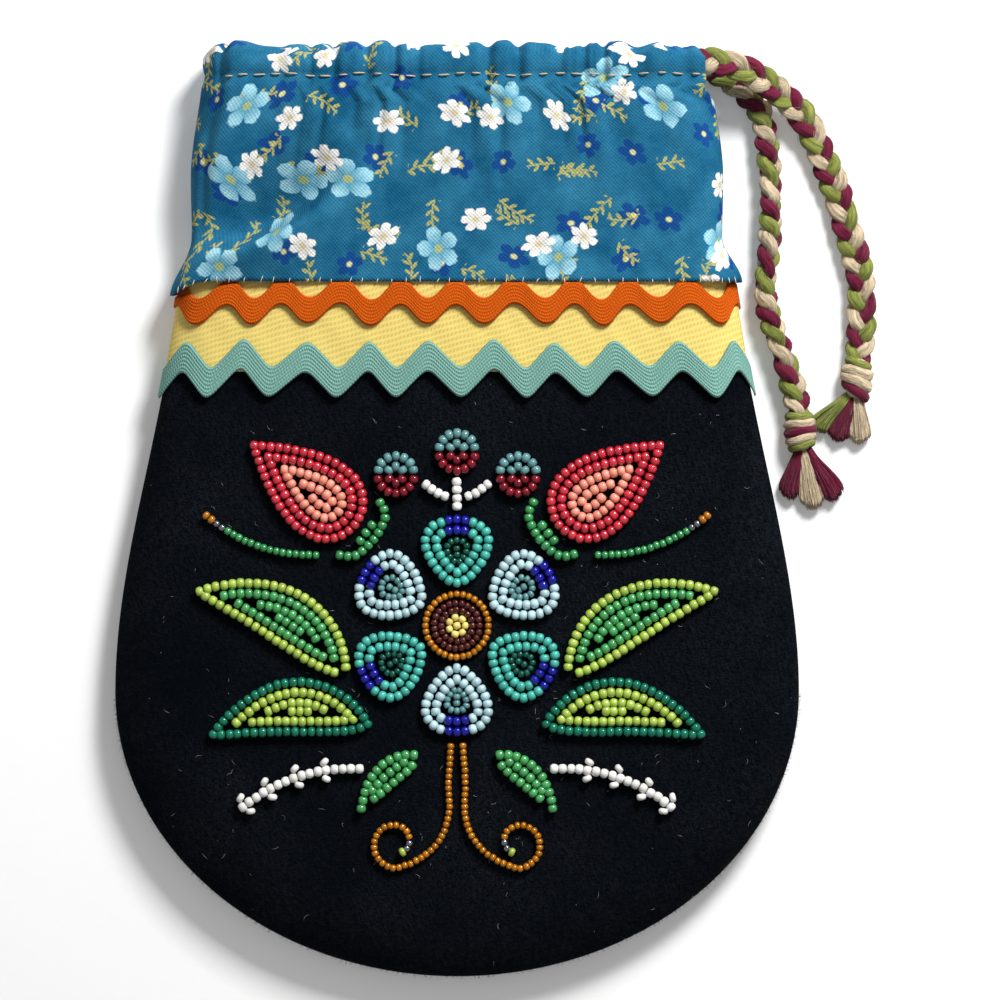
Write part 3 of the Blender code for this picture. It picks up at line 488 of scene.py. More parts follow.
def section_curve(front):
    """The pouch's section from its seam: runs inwards and shares of the full height.

    In front a superellipse swells over the crown's run, and behind a quarter ellipse turns
    over the edge's roll.
    """
    angle = np.linspace(0.0, math.pi / 2.0, SECTION_POINTS)
    if front:
        run = CROWN_RUN * (1.0 - np.cos(angle)) ** 0.9
        return run, crown_share(run)
    return EDGE_ROLL * (1.0 - np.cos(angle)), np.sin(angle)


def wool_swell(x, y):
    """Slow waves of the front's wool, none at the neck, where the trims are sewn flat."""
    waves = np.sin(x / 17.0 + 0.6) * np.cos(y / 21.0) + 0.5 * np.sin(x / 9.0 - y / 12.0 + 1.1)
    return 0.22 * waves * (1.0 - smoothstep((y - 5.0) / 18.0))


def ripple(x, y):
    """Uneven small waves, about -1 to 1, that keep cloth from lying too true."""
    return (np.sin(0.61 * x + 1.7 * np.sin(0.23 * y)) * np.cos(0.47 * y + 1.3 * np.sin(0.31 * x))
            + 0.5 * np.sin(1.13 * x - 0.71 * y + 2.0))


# Wool pouch


def rim_outline():
    """Rim points, inward directions and spine points, from top right round to top left."""
    down = np.linspace(POUCH_TOP_Y, WIDEST_Y, 90)[:-1]
    side = np.column_stack([side_half(down), down])
    angle = np.radians(np.linspace(0.0, -180.0, 201))
    bottom = np.column_stack([WIDEST_HALF * np.cos(angle), WIDEST_Y + BOTTOM_DEPTH * np.sin(angle)])
    normal = unit(np.column_stack([BOTTOM_DEPTH * np.cos(angle), WIDEST_HALF * np.sin(angle)]))
    mirror = np.array([-1.0, 1.0])
    rim = np.concatenate([side, bottom, side[::-1] * mirror])
    right = np.tile([-1.0, 0.0], (len(side), 1))
    inward = np.concatenate([right, -normal, -right])
    spine = np.column_stack([np.zeros(len(rim)), np.maximum(rim[:, 1], WIDEST_Y)])
    return rim, inward, spine


def panel_grid(front):
    """The outer face of a wool panel: sections round the rim, then straight in to the spine.

    The front's height is its section's plus the wool's slow waves, which grow from the rim.
    """
    rim, inward, spine = rim_outline()
    run, share = section_curve(front)
    seam = seam_z(rim[:, 1])
    start = seam + SEAM_GAP / 2.0 if front else seam - SEAM_GAP / 2.0
    reach = FRONT_Z - start if front else back_z(rim[:, 1]) - start
    rolled = rim[None] + inward[None] * run[:, None, None]
    inwards = np.linspace(0.0, 1.0, 19 if front else 6)[1:, None, None]
    flat = rolled[-1] + (spine - rolled[-1]) * inwards
    plan = np.concatenate([rolled, flat])
    shares = np.concatenate([share, np.ones(len(inwards))])
    height = start + reach * shares[:, None]
    if front:
        height = height + wool_swell(plan[..., 0], plan[..., 1]) * shares[:, None] ** 3
    return np.concatenate([plan, height[..., None]], axis=-1)


def make_panel(front, finish):
    """One wool panel, rolled at its rim and one thickness of wool deep."""
    outer = panel_grid(front)
    normal = grid_normals(outer, 1.0 if front else -1.0)
    normal[-2:] = (0.0, 0.0, 1.0 if front else -1.0)
    inner = outer - normal * WOOL
    inner[-1, :, :2] = outer[-1, :, :2]
    node = side_name(front) + "_panel"
    made = add_sheet("wool_" + node, outer, inner, finish, node, "wool", folded=True, weld=True)


def make_nap(finishes):
    """Short wool fibres over the front and along its rim, with some pale lint among them.

    Each fibre is a bowed thread: a straight run plus a sideways sine and a low upward arch.
    """
    chance = np.random.default_rng(11)
    rim, inward, _ = rim_outline()
    at = chance.integers(0, len(rim), FRONT_FIBRES)
    depth = (chance.uniform(0.8, 1.0, FRONT_FIBRES) * BOTTOM_DEPTH
             * chance.uniform(0.0, 1.0, FRONT_FIBRES) ** 0.8)
    place = rim[at] + inward[at] * (2.0 + depth)[:, None]
    place = place[np.abs(place[:, 0]) < side_half(np.maximum(place[:, 1], WIDEST_Y)) - 1.0]
    place = place[place[:, 1] < BAND_LOW_Y - 7.0]
    edge = chance.integers(FIRST_RIM_FIBRE, len(rim) - FIRST_RIM_FIBRE, RIM_FIBRES)
    base = np.concatenate([place, rim[edge] + inward[edge] * 0.25])
    heading = chance.uniform(0.0, 2.0 * math.pi, len(base))
    outwards = np.arctan2(-inward[edge, 1], -inward[edge, 0])
    heading[len(place):] = outwards + chance.normal(0.0, 0.9, len(edge))
    length = chance.uniform(0.5, 2.0, len(base))
    length[len(place):] *= 0.55
    t = np.linspace(0.0, 1.0, HAIR_RINGS)
    bow = chance.normal(0.0, 0.25, len(base))[:, None] * length[:, None] * np.sin(math.pi * t)
    run = length[:, None] * t
    x = base[:, :1] + run * np.cos(heading)[:, None] - bow * np.sin(heading)[:, None]
    y = base[:, 1:] + run * np.sin(heading)[:, None] + bow * np.cos(heading)[:, None]
    ground = front_height(x, y)
    lifted = chance.uniform(0.05, 0.3, len(base))[:, None] * np.sin(math.pi * t) + 0.03
    spread = chance.uniform(-2.2, 2.6, len(base))[:, None]
    z = np.where(np.arange(len(base))[:, None] < len(place), ground + lifted, POUCH_SEAM_Z + spread)
    pale = chance.uniform(0.0, 1.0, len(base)) < 0.045
    radius = np.where(pale, 0.03, 0.022)
    fibres = tubes(np.stack([x, y, z], axis=-1), radius[:, None] * HAIR, sides=3)
    add_tubes("wool_nap", [(fibres, pale.astype(int), None)], finishes, [])


def front_height(x, y):
    """Height of the front's outer face at a place seen from above.

    The run in from the rim is taken square to the sides, and below them along the ellipse's
    own scale, which is close enough for what lies near the flat middle.
    """
    below = np.minimum(y - WIDEST_Y, 0.0)
    scale = np.hypot(x / WIDEST_HALF, below / BOTTOM_DEPTH)
    run_low = (1.0 - scale) * (WIDEST_HALF + BOTTOM_DEPTH) / 2.0
    run_high = side_half(np.maximum(y, WIDEST_Y)) - np.abs(x)
    run = np.clip(np.where(y < WIDEST_Y, run_low, run_high), 0.0, CROWN_RUN)
    share = crown_share(run)
    start = seam_z(y) + SEAM_GAP / 2.0
    return start + (FRONT_Z - start) * share + wool_swell(x, y) * share ** 3


# Trims round the neck


def neck_surface(y, share, offset, front):
    """Points on the neck, share of the way from the right seam to the left one at height y.

    The wool's section is moved out by offset along its own normal. A share becomes an arc
    length, which lies on one rolled corner, the flat middle or the other corner.
    """
    run, rise = section_curve(front)
    start = NECK_SEAM_Z + (SEAM_GAP / 2.0 if front else -SEAM_GAP / 2.0)
    level = start + ((FRONT_Z if front else back_z(NECK_END_Y)) - start) * rise
    slope = unit(np.column_stack([np.gradient(run), np.gradient(level)]))
    way = 1.0 if front else -1.0
    out_run = run - way * slope[:, 1] * offset
    out_level = level + way * slope[:, 0] * offset
    arc = run_along(np.column_stack([out_run, out_level]))
    half = side_half(y)
    middle = half - out_run[-1]
    along = share * 2.0 * (arc[-1] + middle)
    from_end = np.minimum(along, 2.0 * (arc[-1] + middle) - along)
    on_corner = np.interp(from_end, arc, out_run)
    inwards = on_corner + np.maximum(from_end - arc[-1], 0.0)
    x = np.where(share <= 0.5, 1.0, -1.0) * (half - inwards)
    return np.stack([x, np.broadcast_to(y, x.shape), np.interp(from_end, arc, out_level)], axis=-1)


def neck_length(y, front):
    """Length of the neck's half outline at height y."""
    edge = neck_surface(np.array([y]), np.linspace(0.0, 1.0, 200), GAP, front)
    return run_along(edge)[-1]


def make_trim(name, front, y, share, across, relief, base, thickness, finish, slot):
    """A trim sewn over the neck: a closed sheet between two offsets of the neck's surface.

    y and share are grids, relief is added to the outer offset, and across gives the places on
    the cloth. Both offsets are drawn in beside the seams, where the sewing holds the trims
    down on the edge.
    """
    half = thickness / 2.0
    surface = neck_surface(y, share, base + half, front)
    normal = grid_normals(surface, 1.0 if front else -1.0)
    wool = neck_surface(y, share, 0.0, front)
    from_seam = np.minimum(share, 1.0 - share)
    tight = (1.0 - 0.55 * np.exp(-(from_seam / 0.04) ** 2))[..., None]
    outer = wool + (surface + normal * (half + relief)[..., None] - wool) * tight
    inner = wool + (surface - normal * half - wool) * tight
    node = name + "_" + side_name(front)
    return add_sheet(node + "_cloth", outer, inner, finish, node, slot, lay=across)


def make_band(front, finish):
    """The twill band, with the shallow dips that its sewing pulls along both edges."""
    share, y = np.meshgrid(np.linspace(0.0, 1.0, 277 if front else 139),
                           np.linspace(BAND_LOW_Y, BAND_HIGH_Y, 25 if front else 13))
    edge = np.minimum(y - BAND_LOW_Y, BAND_HIGH_Y - y)
    dips = 0.5 + 0.5 * np.cos(2.0 * math.pi * share * 46.0)
    relief = 0.05 * ripple(share * 120.0, y) - 0.12 * dips * np.exp(-edge / 0.8)
    across = np.stack([share * neck_length((BAND_LOW_Y + BAND_HIGH_Y) / 2.0, front), y], axis=-1)
    made = make_trim("yellow_band", front, y, share, across, relief, GAP, BAND, finish,
                     "yellow_twill")


def wave(turns, point):
    """Rickrack's rounded zigzag, about -1 to 1, with a crest at each whole turn.

    A share of the cosine of three times the angle makes its tips more pointed.
    """
    angle = 2.0 * math.pi * turns
    return np.cos(angle) + point * np.cos(3.0 * angle)


def make_rickrack(name, front, cut, finish, slot):
    """Rickrack: a ribbon that swings up and down round its middle line, ribbed lengthwise.

    The height is the middle plus the swing times a rounded zigzag, and the ribs are the
    absolute sine of the place across the ribbon. Small drifts keep the waves uneven.
    """
    waves = cut["waves"]
    share, across = np.meshgrid(np.linspace(0.0, 1.0, round(waves * (26 if front else 16)) + 1),
                                np.linspace(-0.5, 0.5, RIBS * (5 if front else 3) + 1))
    drift = 0.16 * np.sin(share * 19.0 + cut["middle"]) + 0.12 * np.sin(share * 47.0)
    swing = cut["swing"] * (1.0 + 0.06 * np.sin(share * 31.0 + 0.4))
    turns = (share - 0.5) * waves + cut["shift"] + 0.03 * np.sin(share * 23.0 + cut["middle"])
    y = cut["middle"] + drift + swing * wave(turns, cut["point"]) + across * cut["ribbon"]
    edge = 1.0 - smoothstep((0.5 - np.abs(across)) / 0.08)
    relief = 0.15 * np.abs(np.sin(math.pi * RIBS * (across + 0.5))) - 0.1 - 0.35 * edge
    under_hem = smoothstep((y - hem_line(share) + 0.45) / 0.4)
    relief = relief * (1.0 - under_hem) - 0.86 * under_hem
    length = neck_length(cut["middle"], front)
    stretch = np.sqrt(1.0 + (2.0 * math.pi * swing * waves / length) ** 2 / 4.0).mean()
    lay = np.stack([share * length * stretch, across * cut["ribbon"]], axis=-1)
    make_trim(name + "_rickrack", front, y, share, lay, relief, GAP + BAND + GAP, RICKRACK - 0.1,
              finish, slot)


# Collar


def hem_line(share):
    """Height of the collar's hem: level, and drooping where it goes round the left seam."""
    return HEM_Y - HEM_DROOP * smoothstep((share - 0.86) / 0.12)


def collar_half(y):
    """Half width of the collar: flared at the hem, waisted above it, easing to the casing."""
    half = np.full(np.shape(y), COLLAR_HALVES[0])
    for k in range(len(COLLAR_YS) - 1):
        t = eased(y, COLLAR_YS[k], COLLAR_YS[k + 1])
        half = half + (COLLAR_HALVES[k + 1] - COLLAR_HALVES[k]) * t
    return half


def casing_depth():
    """From the casing's outer face to its inner face: cotton, cord and clearance, cotton."""
    return 2.0 * COTTON + CORD + 2.0 * GAP


def collar_levels(y):
    """Heights of the collar's outer face at y: its top and its underside."""
    rise = eased(y, HEM_Y, CASING_Y)
    stack = GAP + BAND + GAP + COTTON
    top = FRONT_Z + stack
    low = back_z(HEM_Y) - stack
    return top + (2.0 * casing_depth() + MOUTH_GAP - top) * rise, low * (1.0 - rise)


def fold_relief(x, y):
    """The soft slanting fold at the collar's lower left: a ridge with a hollow above it."""
    along = (x + 38.0) * 0.89 + (y - 58.5) * 0.45
    bend = 0.012 * along ** 2 - 1.0
    across = -(x + 38.0) * 0.45 + (y - 58.5) * 0.89 - bend
    fade = np.exp(-(along / 15.0) ** 2)
    ridge = 3.6 * np.exp(-(across / np.where(across > 0.0, 1.0, 7.0)) ** 2)
    hollow = 5.6 * np.exp(-((across - 3.8) / np.where(across > 3.8, 8.5, 2.0)) ** 2)
    second = 0.9 * np.exp(-((x + 22.0 + 0.5 * (y - 70.0)) / 5.0) ** 2 - ((y - 74.0) / 12.0) ** 2)
    crease = 0.8 * np.exp(-((x + 52.6 + 0.05 * (80.0 - y)) / 1.1) ** 2) * smoothstep((y - 54.0) / 8.0)
    return fade * (ridge - hollow) + second - crease


def pucker_relief(y, share):
    """Gathers: ridges of uneven width and height, full at the casing and gone below."""
    count = sizes().puckers
    height = sizes().pucker / MM
    phase = share * count + 0.42 * np.sin(share * 17.0 + 0.7) + 0.2 * np.sin(share * 41.0)
    ridge = 1.0 - (0.5 - 0.5 * np.cos(2.0 * math.pi * phase)) ** 2.5
    fine = 0.5 + 0.5 * np.cos(2.0 * math.pi * (2.6 * phase + 0.8 * np.sin(share * 23.0)))
    uneven = 0.7 + 0.3 * np.sin(share * 29.0 + 1.0)
    near = eased(y, PRESS_START_Y, STITCH_Y)
    reach = GATHER_FADE_Y + 12.0 * (0.5 + 0.5 * np.sin(share * 37.0 + 2.0))
    fade = eased(y, reach, STITCH_Y)
    return height * (fade * uneven * ridge + 0.07 * near * fine)


def collar_surface(y, depth, share, front):
    """Points on the collar, depth in from its outer face, share along from the right seam.

    Each half is a flat middle between two quarters of an ellipse. Beside the drawstring's
    slit the right quarter closes up, so the casing's end lies open and flat. The back's
    gathers are halved and pressed level with the surface the bag lies on.
    """
    y, depth, share = np.broadcast_arrays(y, depth, share)
    top, low = collar_levels(y)
    middle = (top + low) / 2.0
    rise = eased(y, HEM_Y, CASING_Y)
    radius = HEM_RADIUS + (CASING_RADIUS - HEM_RADIUS) * rise
    slit = eased(y, SLIT_LOW_Y, SLIT_HIGH_Y)
    right_radius = radius + (SLIT_RADIUS - radius) * slit
    right = collar_half(y) - right_radius
    left = radius - collar_half(y)
    flat = np.clip((share - CORNER_SHARE) / (1.0 - 2.0 * CORNER_SHARE), 0.0, 1.0)
    quarter = np.clip(np.minimum(share, 1.0 - share) / CORNER_SHARE, 0.0, 1.0) * math.pi / 2.0
    x = right + (left - right) * flat
    x = x + np.where(share < CORNER_SHARE, np.cos(quarter) * (right_radius - depth), 0.0)
    x = x - np.where(share > 1.0 - CORNER_SHARE, np.cos(quarter) * (radius - depth), 0.0)
    level = ((top - low) / 2.0 - depth) * np.sin(quarter)
    outer_wall = 1.0 - smoothstep((depth - 0.8) / 1.6)
    soft = pucker_relief(np.minimum(y, STITCH_Y + 2.0), share) + 0.12 * ripple(x, y)
    if front:
        soft = soft + fold_relief(x, y)
    else:
        soft = np.minimum(0.5 * soft - 0.7 * eased(y, PRESS_START_Y, STITCH_Y), low)
    level = level + soft * outer_wall * np.sin(quarter)
    level = np.maximum(level, SEAM_GAP / 2.0)
    droop = (hem_line(share) - HEM_Y) * (1.0 - smoothstep((y - HEM_Y) / 12.0))
    return np.stack([x + 0.14 * droop, y + droop, middle + (level if front else -level)], axis=-1)


def collar_section():
    """Middle line of the cotton as heights and depths: hem, outer wall, casing fold, hem again.

    The casing's corners are rounded by carrying a Catmull-Rom curve through its stations.
    """
    mid = COTTON / 2.0
    inner = casing_depth() - mid
    wall = [(y, mid) for y in np.linspace(HEM_Y, SLIT_LOW_Y, 42)]
    casing = [
        (88.6, mid), (STITCH_Y, mid + 0.45), (92.6, mid + 0.1), (CASING_Y, mid - 0.05),
        (CASING_Y + 2.0, mid + 0.55), (CASING_Y + 3.2, casing_depth() / 2.0),
        (CASING_Y + 2.0, inner - 0.6), (CASING_Y, inner), (STITCH_Y - 0.4, inner - 0.9),
        (SLIT_HIGH_Y, mid + 0.4 + COTTON + GAP),
    ]
    return np.concatenate([np.array(wall), smooth_route(casing, 0.35)])


def smooth_route(points, step):
    """Points about a step apart on the Catmull-Rom curve through a route."""
    route = np.array(points, dtype=float)
    ends = np.vstack([2.0 * route[0] - route[1], route, 2.0 * route[-1] - route[-2]])
    a, b, c, d = (ends[k:k + len(route) - 1, None] for k in range(4))
    t = np.linspace(0.0, 1.0, 16, endpoint=False)[None, :, None]
    fine = 0.5 * (2.0 * b + (c - a) * t + (2.0 * a - 5.0 * b + 4.0 * c - d) * t ** 2
                  + (3.0 * b - a - 3.0 * c + d) * t ** 3)
    fine = np.vstack([fine.reshape(-1, route.shape[1]), route[-1]])
    along = run_along(fine)
    even = np.linspace(0.0, along[-1], max(int(round(along[-1] / step)), 2) + 1)
    return np.column_stack([np.interp(even, along, column) for column in fine.T])


def make_collar(front, finish):
    """Half of the collar: one sheet of printed cotton from its hem over the casing's fold."""
    section = collar_section()
    slope = unit(np.gradient(section, axis=0))
    normal = np.column_stack([-slope[:, 1], slope[:, 0]])
    corner = np.linspace(0.0, CORNER_SHARE, 25)
    middle = np.linspace(CORNER_SHARE, 1.0 - CORNER_SHARE, 290 if front else 110)
    shares = np.concatenate([corner, middle[1:-1], 1.0 - corner[::-1]])
    start = CORNER_SHARE * eased(section[:, :1], SLIT_LOW_Y, SLIT_HIGH_Y)
    along = start + (1.0 - start) * shares[None]
    folded = smoothstep((section[:, :1] - CASING_Y - 0.6) / 1.6)
    grids = []
    for side in (-0.5, 0.5):
        y = section[:, :1] + normal[:, :1] * COTTON * side
        depth = section[:, 1:] + normal[:, 1:] * COTTON * side
        grid = collar_surface(y, depth, along, front)
        ruffle = 0.9 * (pucker_relief(STITCH_Y, along[-1]) - 0.7)
        end = np.clip(1.0 - (grid[:, :1, 0] - grid[..., 0]) / 3.2, 0.0, 1.0)
        grid[..., 1] += (ruffle - 2.4 * end ** 2) * folded
        grids.append(grid)
    u = np.array([run_along(row) for row in grids[0]])
    centred = [np.interp(0.0, -line, run) for line, run in zip(grids[0][..., 0], u)]
    u = u - np.array(centred)[:, None] + (0.0 if front else 400.0)
    lay = np.stack([u, np.broadcast_to(run_along(section)[:, None], u.shape)], axis=-1)
    node = "collar_" + side_name(front)
    made = add_sheet(node + "_cotton", *grids, finish, node, "printed_cotton", lay=lay)


# Sewing


def make_running_stitch(finish):
    """Cream running stitch along the casing: each stitch arches out of the cloth and dives back."""
    count = RUNNING_STITCHES
    chance = np.random.default_rng(5)
    starts = np.linspace(0.13, 0.9, count) + chance.normal(0.0, 0.0012, count)
    length = sizes().stitch / MM / STITCHED_LENGTH * (1.0 + chance.uniform(-0.2, 0.25, count))
    t = np.linspace(0.0, 1.0, 9)
    share = starts[:, None] + length[:, None] * t
    y = STITCH_Y + chance.normal(0.0, 0.12, count)[:, None] + 0.25 * np.sin(share * 40.0)
    paths = collar_surface(y, 0.42 - 0.55 * np.sin(math.pi * t), share, True)
    add_tubes("running_stitch", [(tubes(paths, capped(9, 0.17), sides=7), 0, None)], [finish], [])


def make_hem_stitches(front, finish):
    """Whip stitches over the collar's hem: short slanting threads from the cotton to the band."""
    count = HEM_STITCHES
    chance = np.random.default_rng(8 if front else 9)
    share = np.linspace(0.06, 0.94, count) + chance.normal(0.0, 0.0018, count)
    high = collar_surface(np.full(count, HEM_Y + 0.9), -0.05, share, front)
    high[:, 0] += chance.normal(0.15, 0.22, count)
    edge = collar_surface(np.full(count, HEM_Y - 0.15), -0.12, share, front)
    low = neck_surface(hem_line(share) - 0.45, share, GAP + BAND + 0.02, front)
    high[:, 1] += chance.normal(0.0, 0.2, count)
    low[:, 0] = edge[:, 0] - 0.1
    paths = np.stack([high, (high * 0.5 + edge * 0.5) + [0.0, 0.0, 0.05 if front else -0.05], edge,
                      low], axis=1)
    threads = tubes(paths, np.array([0.0, 0.1, 0.11, 0.0]), sides=5)
    add_tubes("hem_stitches_" + side_name(front), [(threads, 0, None)], [finish], [])


# Drawstring


def plait_points(path, strand, half_width, half_height, roll, start_turn, sides, flat):
    """Three strands round a path: sideways the sine of the turn, upwards the sine of twice it.

    The strands are a third of a turn apart, and roll turns the plait about its path. The
    strands' rings are tubes by rings by sides, and their centrelines come back too.
    """
    along = unit(np.gradient(path, axis=0))
    level = unit(np.cross(along, UP))
    rise = np.cross(level, along)
    side = np.cos(roll)[:, None] * level + np.sin(roll)[:, None] * rise
    lift = -np.sin(roll)[:, None] * level + np.cos(roll)[:, None] * rise
    run = run_along(path)
    phase = start_turn + 2.0 * math.pi * run / (sizes().plait_turn / MM) + 0.25 * np.sin(run * 0.31)
    number = np.arange(3)[:, None]
    phase = phase[None] + 2.0 * math.pi / 3.0 * number
    loose = (1.0 + 0.1 * np.sin(run[None] * 0.43 + number * 1.9))[..., None]
    centres = (path[None] + half_width * loose * np.sin(phase)[..., None] * side
               + half_height * np.sin(2.0 * phase)[..., None] * lift)
    slack = 1.0 + 0.09 * np.sin(run[None] * 0.9 + number * 2.1) + 0.06 * np.sin(run[None] * 2.3 + number)
    radius = strand * slack
    radius[:, [0, -1]] = 0.0
    radius[:, [1, -2]] *= 0.75
    points = tubes(centres, radius, sides=sides, flutes=4, flute_depth=0.1, twist=0.17, flat=flat)
    return points, centres


def fuzz_paths(centres, radius, count, seed):
    """Paths of loose fibres that leave a strand's surface at a low angle and curl back."""
    chance = np.random.default_rng(seed)
    strand = chance.integers(0, centres.shape[0], count)
    at = chance.integers(2, centres.shape[1] - 8, count)
    base = centres[strand, at]
    along = unit(centres[strand, at + 3] - base)
    aside = unit(np.cross(along, UP))
    above = np.cross(aside, along)
    angle = chance.uniform(-0.5, math.pi + 0.5, count)[:, None]
    outwards = np.cos(angle) * aside + np.sin(angle) * above
    t = np.linspace(0.0, 1.0, HAIR_RINGS)[None, :, None]
    length = chance.uniform(1.2, 3.2, count)[:, None, None]
    stand = chance.uniform(0.05, 0.75, count)[:, None, None] ** 1.5
    curl = chance.normal(0.0, 0.35, count)[:, None, None]
    paths = (base[:, None] + outwards[:, None] * (radius * 0.96 + stand * np.sin(2.2 * t))
             + along[:, None] * length * t
             + np.cross(along, outwards)[:, None] * curl * np.sin(2.6 * t))
    paths[..., 2] = np.maximum(paths[..., 2], 0.1)
    return paths, strand


def make_tail(side, finishes):
    """One tail of the drawstring, from the casing to its knot, with its loose fibres."""
    outer = side == "outer"
    step = 0.4
    path = smooth_route(OUTER_TAIL if outer else INNER_TAIL, step)
    share = np.linspace(0.0, 1.0, len(path))
    lying = smoothstep((share - 0.12) / 0.3)
    if outer:
        roll = 0.15 + 0.12 * np.sin(share * 7.0)
        path[:, 2] += 0.25 * lying
    else:
        roll = 0.35 + 0.95 * smoothstep((share - 0.05) / 0.3) - 0.5 * smoothstep((share - 0.75) / 0.2)
        path[:, 2] += 1.1 * lying
    path[:, 2] += 0.12 * np.sin(share * 19.0) * lying
    gathered = 1.0 - 0.3 * smoothstep((share - 0.955) / 0.04)[:, None]
    strand = sizes().yarn / MM
    half_width, half_height, flat = (1.8, -0.74, 0.62) if outer else (1.58, -0.92, 0.78)
    strands, centres = plait_points(path, strand, half_width * gathered, half_height * gathered,
                                    roll, 0.6 if outer else 2.2, STRAND_SIDES, flat)
    strands[..., 2] = np.maximum(strands[..., 2], 0.05)
    hairs, owner = fuzz_paths(centres, strand, TAIL_FIBRES, 21 if outer else 22)
    groups = [(strands, np.arange(3), (step, STRAND_AROUND)),
              (tubes(hairs, HAIR * 0.035, sides=3), owner, (step, 1.0))]
    return add_tubes("drawstring_tail_" + side, groups, finishes, ["drawstring"]), path


def casing_route():
    """Back casing from the right, round the left side and forward through the front casing."""
    depth = casing_depth() / 2.0
    middle = casing_depth() + MOUTH_GAP / 2.0
    centre = CASING_RADIUS - COLLAR_HALVES[-1]
    straight = np.linspace(OUTER_TAIL[0][0], centre, 40)
    angle = np.radians(np.linspace(-90.0, 90.0, 22))[1:-1]
    x = np.concatenate([straight, centre - (CASING_RADIUS - depth) * np.cos(angle), straight[::-1]])
    z = np.concatenate([np.full(40, depth), middle + (middle - depth) * np.sin(angle),
                        np.full(40, 2.0 * middle - depth)])
    return smooth_route(np.column_stack([x, np.full(len(x), CASING_Y), z]), 1.0)


def make_casing_stretch(finishes):
    """The part of the plait inside the casing, drawn tight so that it stays within the cotton."""
    path = casing_route()
    strand = 0.93 * sizes().yarn / MM
    strands, _ = plait_points(path, strand, 0.5, 0.3, np.zeros(len(path)), 0.0, 8, 0.8)
    add_tubes("drawstring_in_casing", [(strands, np.arange(3), (1.0, STRAND_AROUND))], finishes,
              ["drawstring"])


def knot_frame(knot):
    """A knot's place, the level direction it points in and the level direction across it."""
    (x, y), (dx, dy) = knot
    ahead = unit(np.array([dx, dy, 0.0]))
    return np.array([x, y, 0.0]), ahead, np.array([-ahead[1], ahead[0], 0.0])


def make_knot(side, knot, wraps, finishes):
    """The knot: yarn wound round the plait's end over a plump core.

    Each wrap is an ellipse round the knot's axis, moved along it by a cosine so that it
    slants, and its half width follows a barrel's outline. wraps gives each one's run, slant,
    thickness and strand.
    """
    base, ahead, across = knot_frame(knot)
    angle = np.radians(np.linspace(-98.0, 278.0, 48))
    paths = []
    for run, slant, thick, _ in wraps:
        bulge = math.sqrt(1.0 - (run / 5.6) ** 2)
        half_width = 3.35 * bulge - thick * 0.8
        half_height = 2.85 * bulge - thick * 0.75
        shift = run + slant * np.cos(angle) + 0.12 * np.sin(3.0 * angle + run)
        paths.append(base + ahead * shift[:, None] + across * (half_width * np.cos(angle))[:, None]
                     + UP * (KNOT_Z + half_height * np.sin(angle))[:, None])
    radius = np.array([thick for _, _, thick, _ in wraps])[:, None]
    loops = tubes(np.array(paths), radius, sides=14, flutes=5, flute_depth=0.06, twist=0.3)[:, 1:-1]
    runs = np.linspace(-KNOT_LENGTH / 2.0 - 0.8, KNOT_LENGTH / 2.0 + 0.8, 16)
    core_path = base + ahead * runs[:, None] + UP * KNOT_Z
    core = tubes(core_path[None], capped(len(runs), 2.1, ease=4), sides=16)
    loops[..., 2] = np.maximum(loops[..., 2], 0.05)
    groups = [(loops, [wrap[3] for wrap in wraps], (0.4, 6.0)), (core, CREAM, (0.5, 12.0))]
    return add_tubes("yarn_knot_" + side, groups, finishes, ["knot_" + side])


def make_tassel(side, knot, lobes, reach, seed, finishes):
    """The loose yarn below a knot: strands that leave it in a bundle and fan into coloured lobes.

    A strand runs from its place in the neck to its place in the lobe along an ease, droops to
    the surface it lies on, and curls a little by a sine. lobes gives each one's strand, its
    middle and half width across, and its share of the length.
    """
    base, ahead, across = knot_frame(knot)
    chance = np.random.default_rng(seed)
    t = np.linspace(0.0, 1.0, 10)
    paths, owner = [], []
    for strand, middle, half_width, length in lobes:
        count = int(140 * half_width / 2.4)
        spot = np.sqrt(chance.uniform(0.0, 1.0, count))
        turn = chance.uniform(0.0, 2.0 * math.pi, count)
        fan = middle + half_width * spot * np.cos(turn)
        stack = 1.35 + 1.15 * spot * np.sin(turn)
        neck = 0.16 * fan + chance.normal(0.0, 0.3, count)
        neck_high = 2.7 + 0.7 * spot * np.sin(turn)
        ease = smoothstep(t)[None] * 0.55 + t[None] * 0.45
        long = reach * length * (1.0 - 0.2 * (spot * np.cos(turn)) ** 2) + chance.normal(0.0, 0.22, count)
        bulge = 0.5 * np.sin(math.pi * t)[None] * np.sin(turn)[:, None]
        side_run = neck[:, None] + (fan - neck)[:, None] * ease + 0.25 * np.sin(
            5.0 * t[None] + turn[:, None]) * t[None]
        high = neck_high[:, None] + (stack - neck_high)[:, None] * ease + bulge
        ahead_run = KNOT_LENGTH / 2.0 - 0.6 + long[:, None] * t[None]
        path = (base + ahead_run[..., None] * ahead + side_run[..., None] * across
                + high[..., None] * UP)
        paths.append(path)
        owner.append(np.full(count, strand))
    paths = np.concatenate(paths)
    paths[..., 2] = np.maximum(paths[..., 2], 0.42)
    owner = np.concatenate(owner)
    radius = capped(len(t), 0.25, ease=1) * (1.0 + 0.15 * np.sin(t * 9.0))
    loose = paths[::3, 3:3 + HAIR_RINGS]
    wisps = loose + chance.normal(0.0, 0.22, loose.shape) * np.linspace(
        0.2, 1.6, HAIR_RINGS)[None, :, None]
    wisps[..., 2] = np.maximum(wisps[..., 2], 0.1)
    groups = [(tubes(paths, radius, sides=5), owner, (1.2, 2.0)),
              (tubes(wisps, HAIR * 0.03, sides=3), owner[::3], (1.2, 1.0))]
    return add_tubes("yarn_tassel_" + side, groups, finishes, ["tassel_" + side])


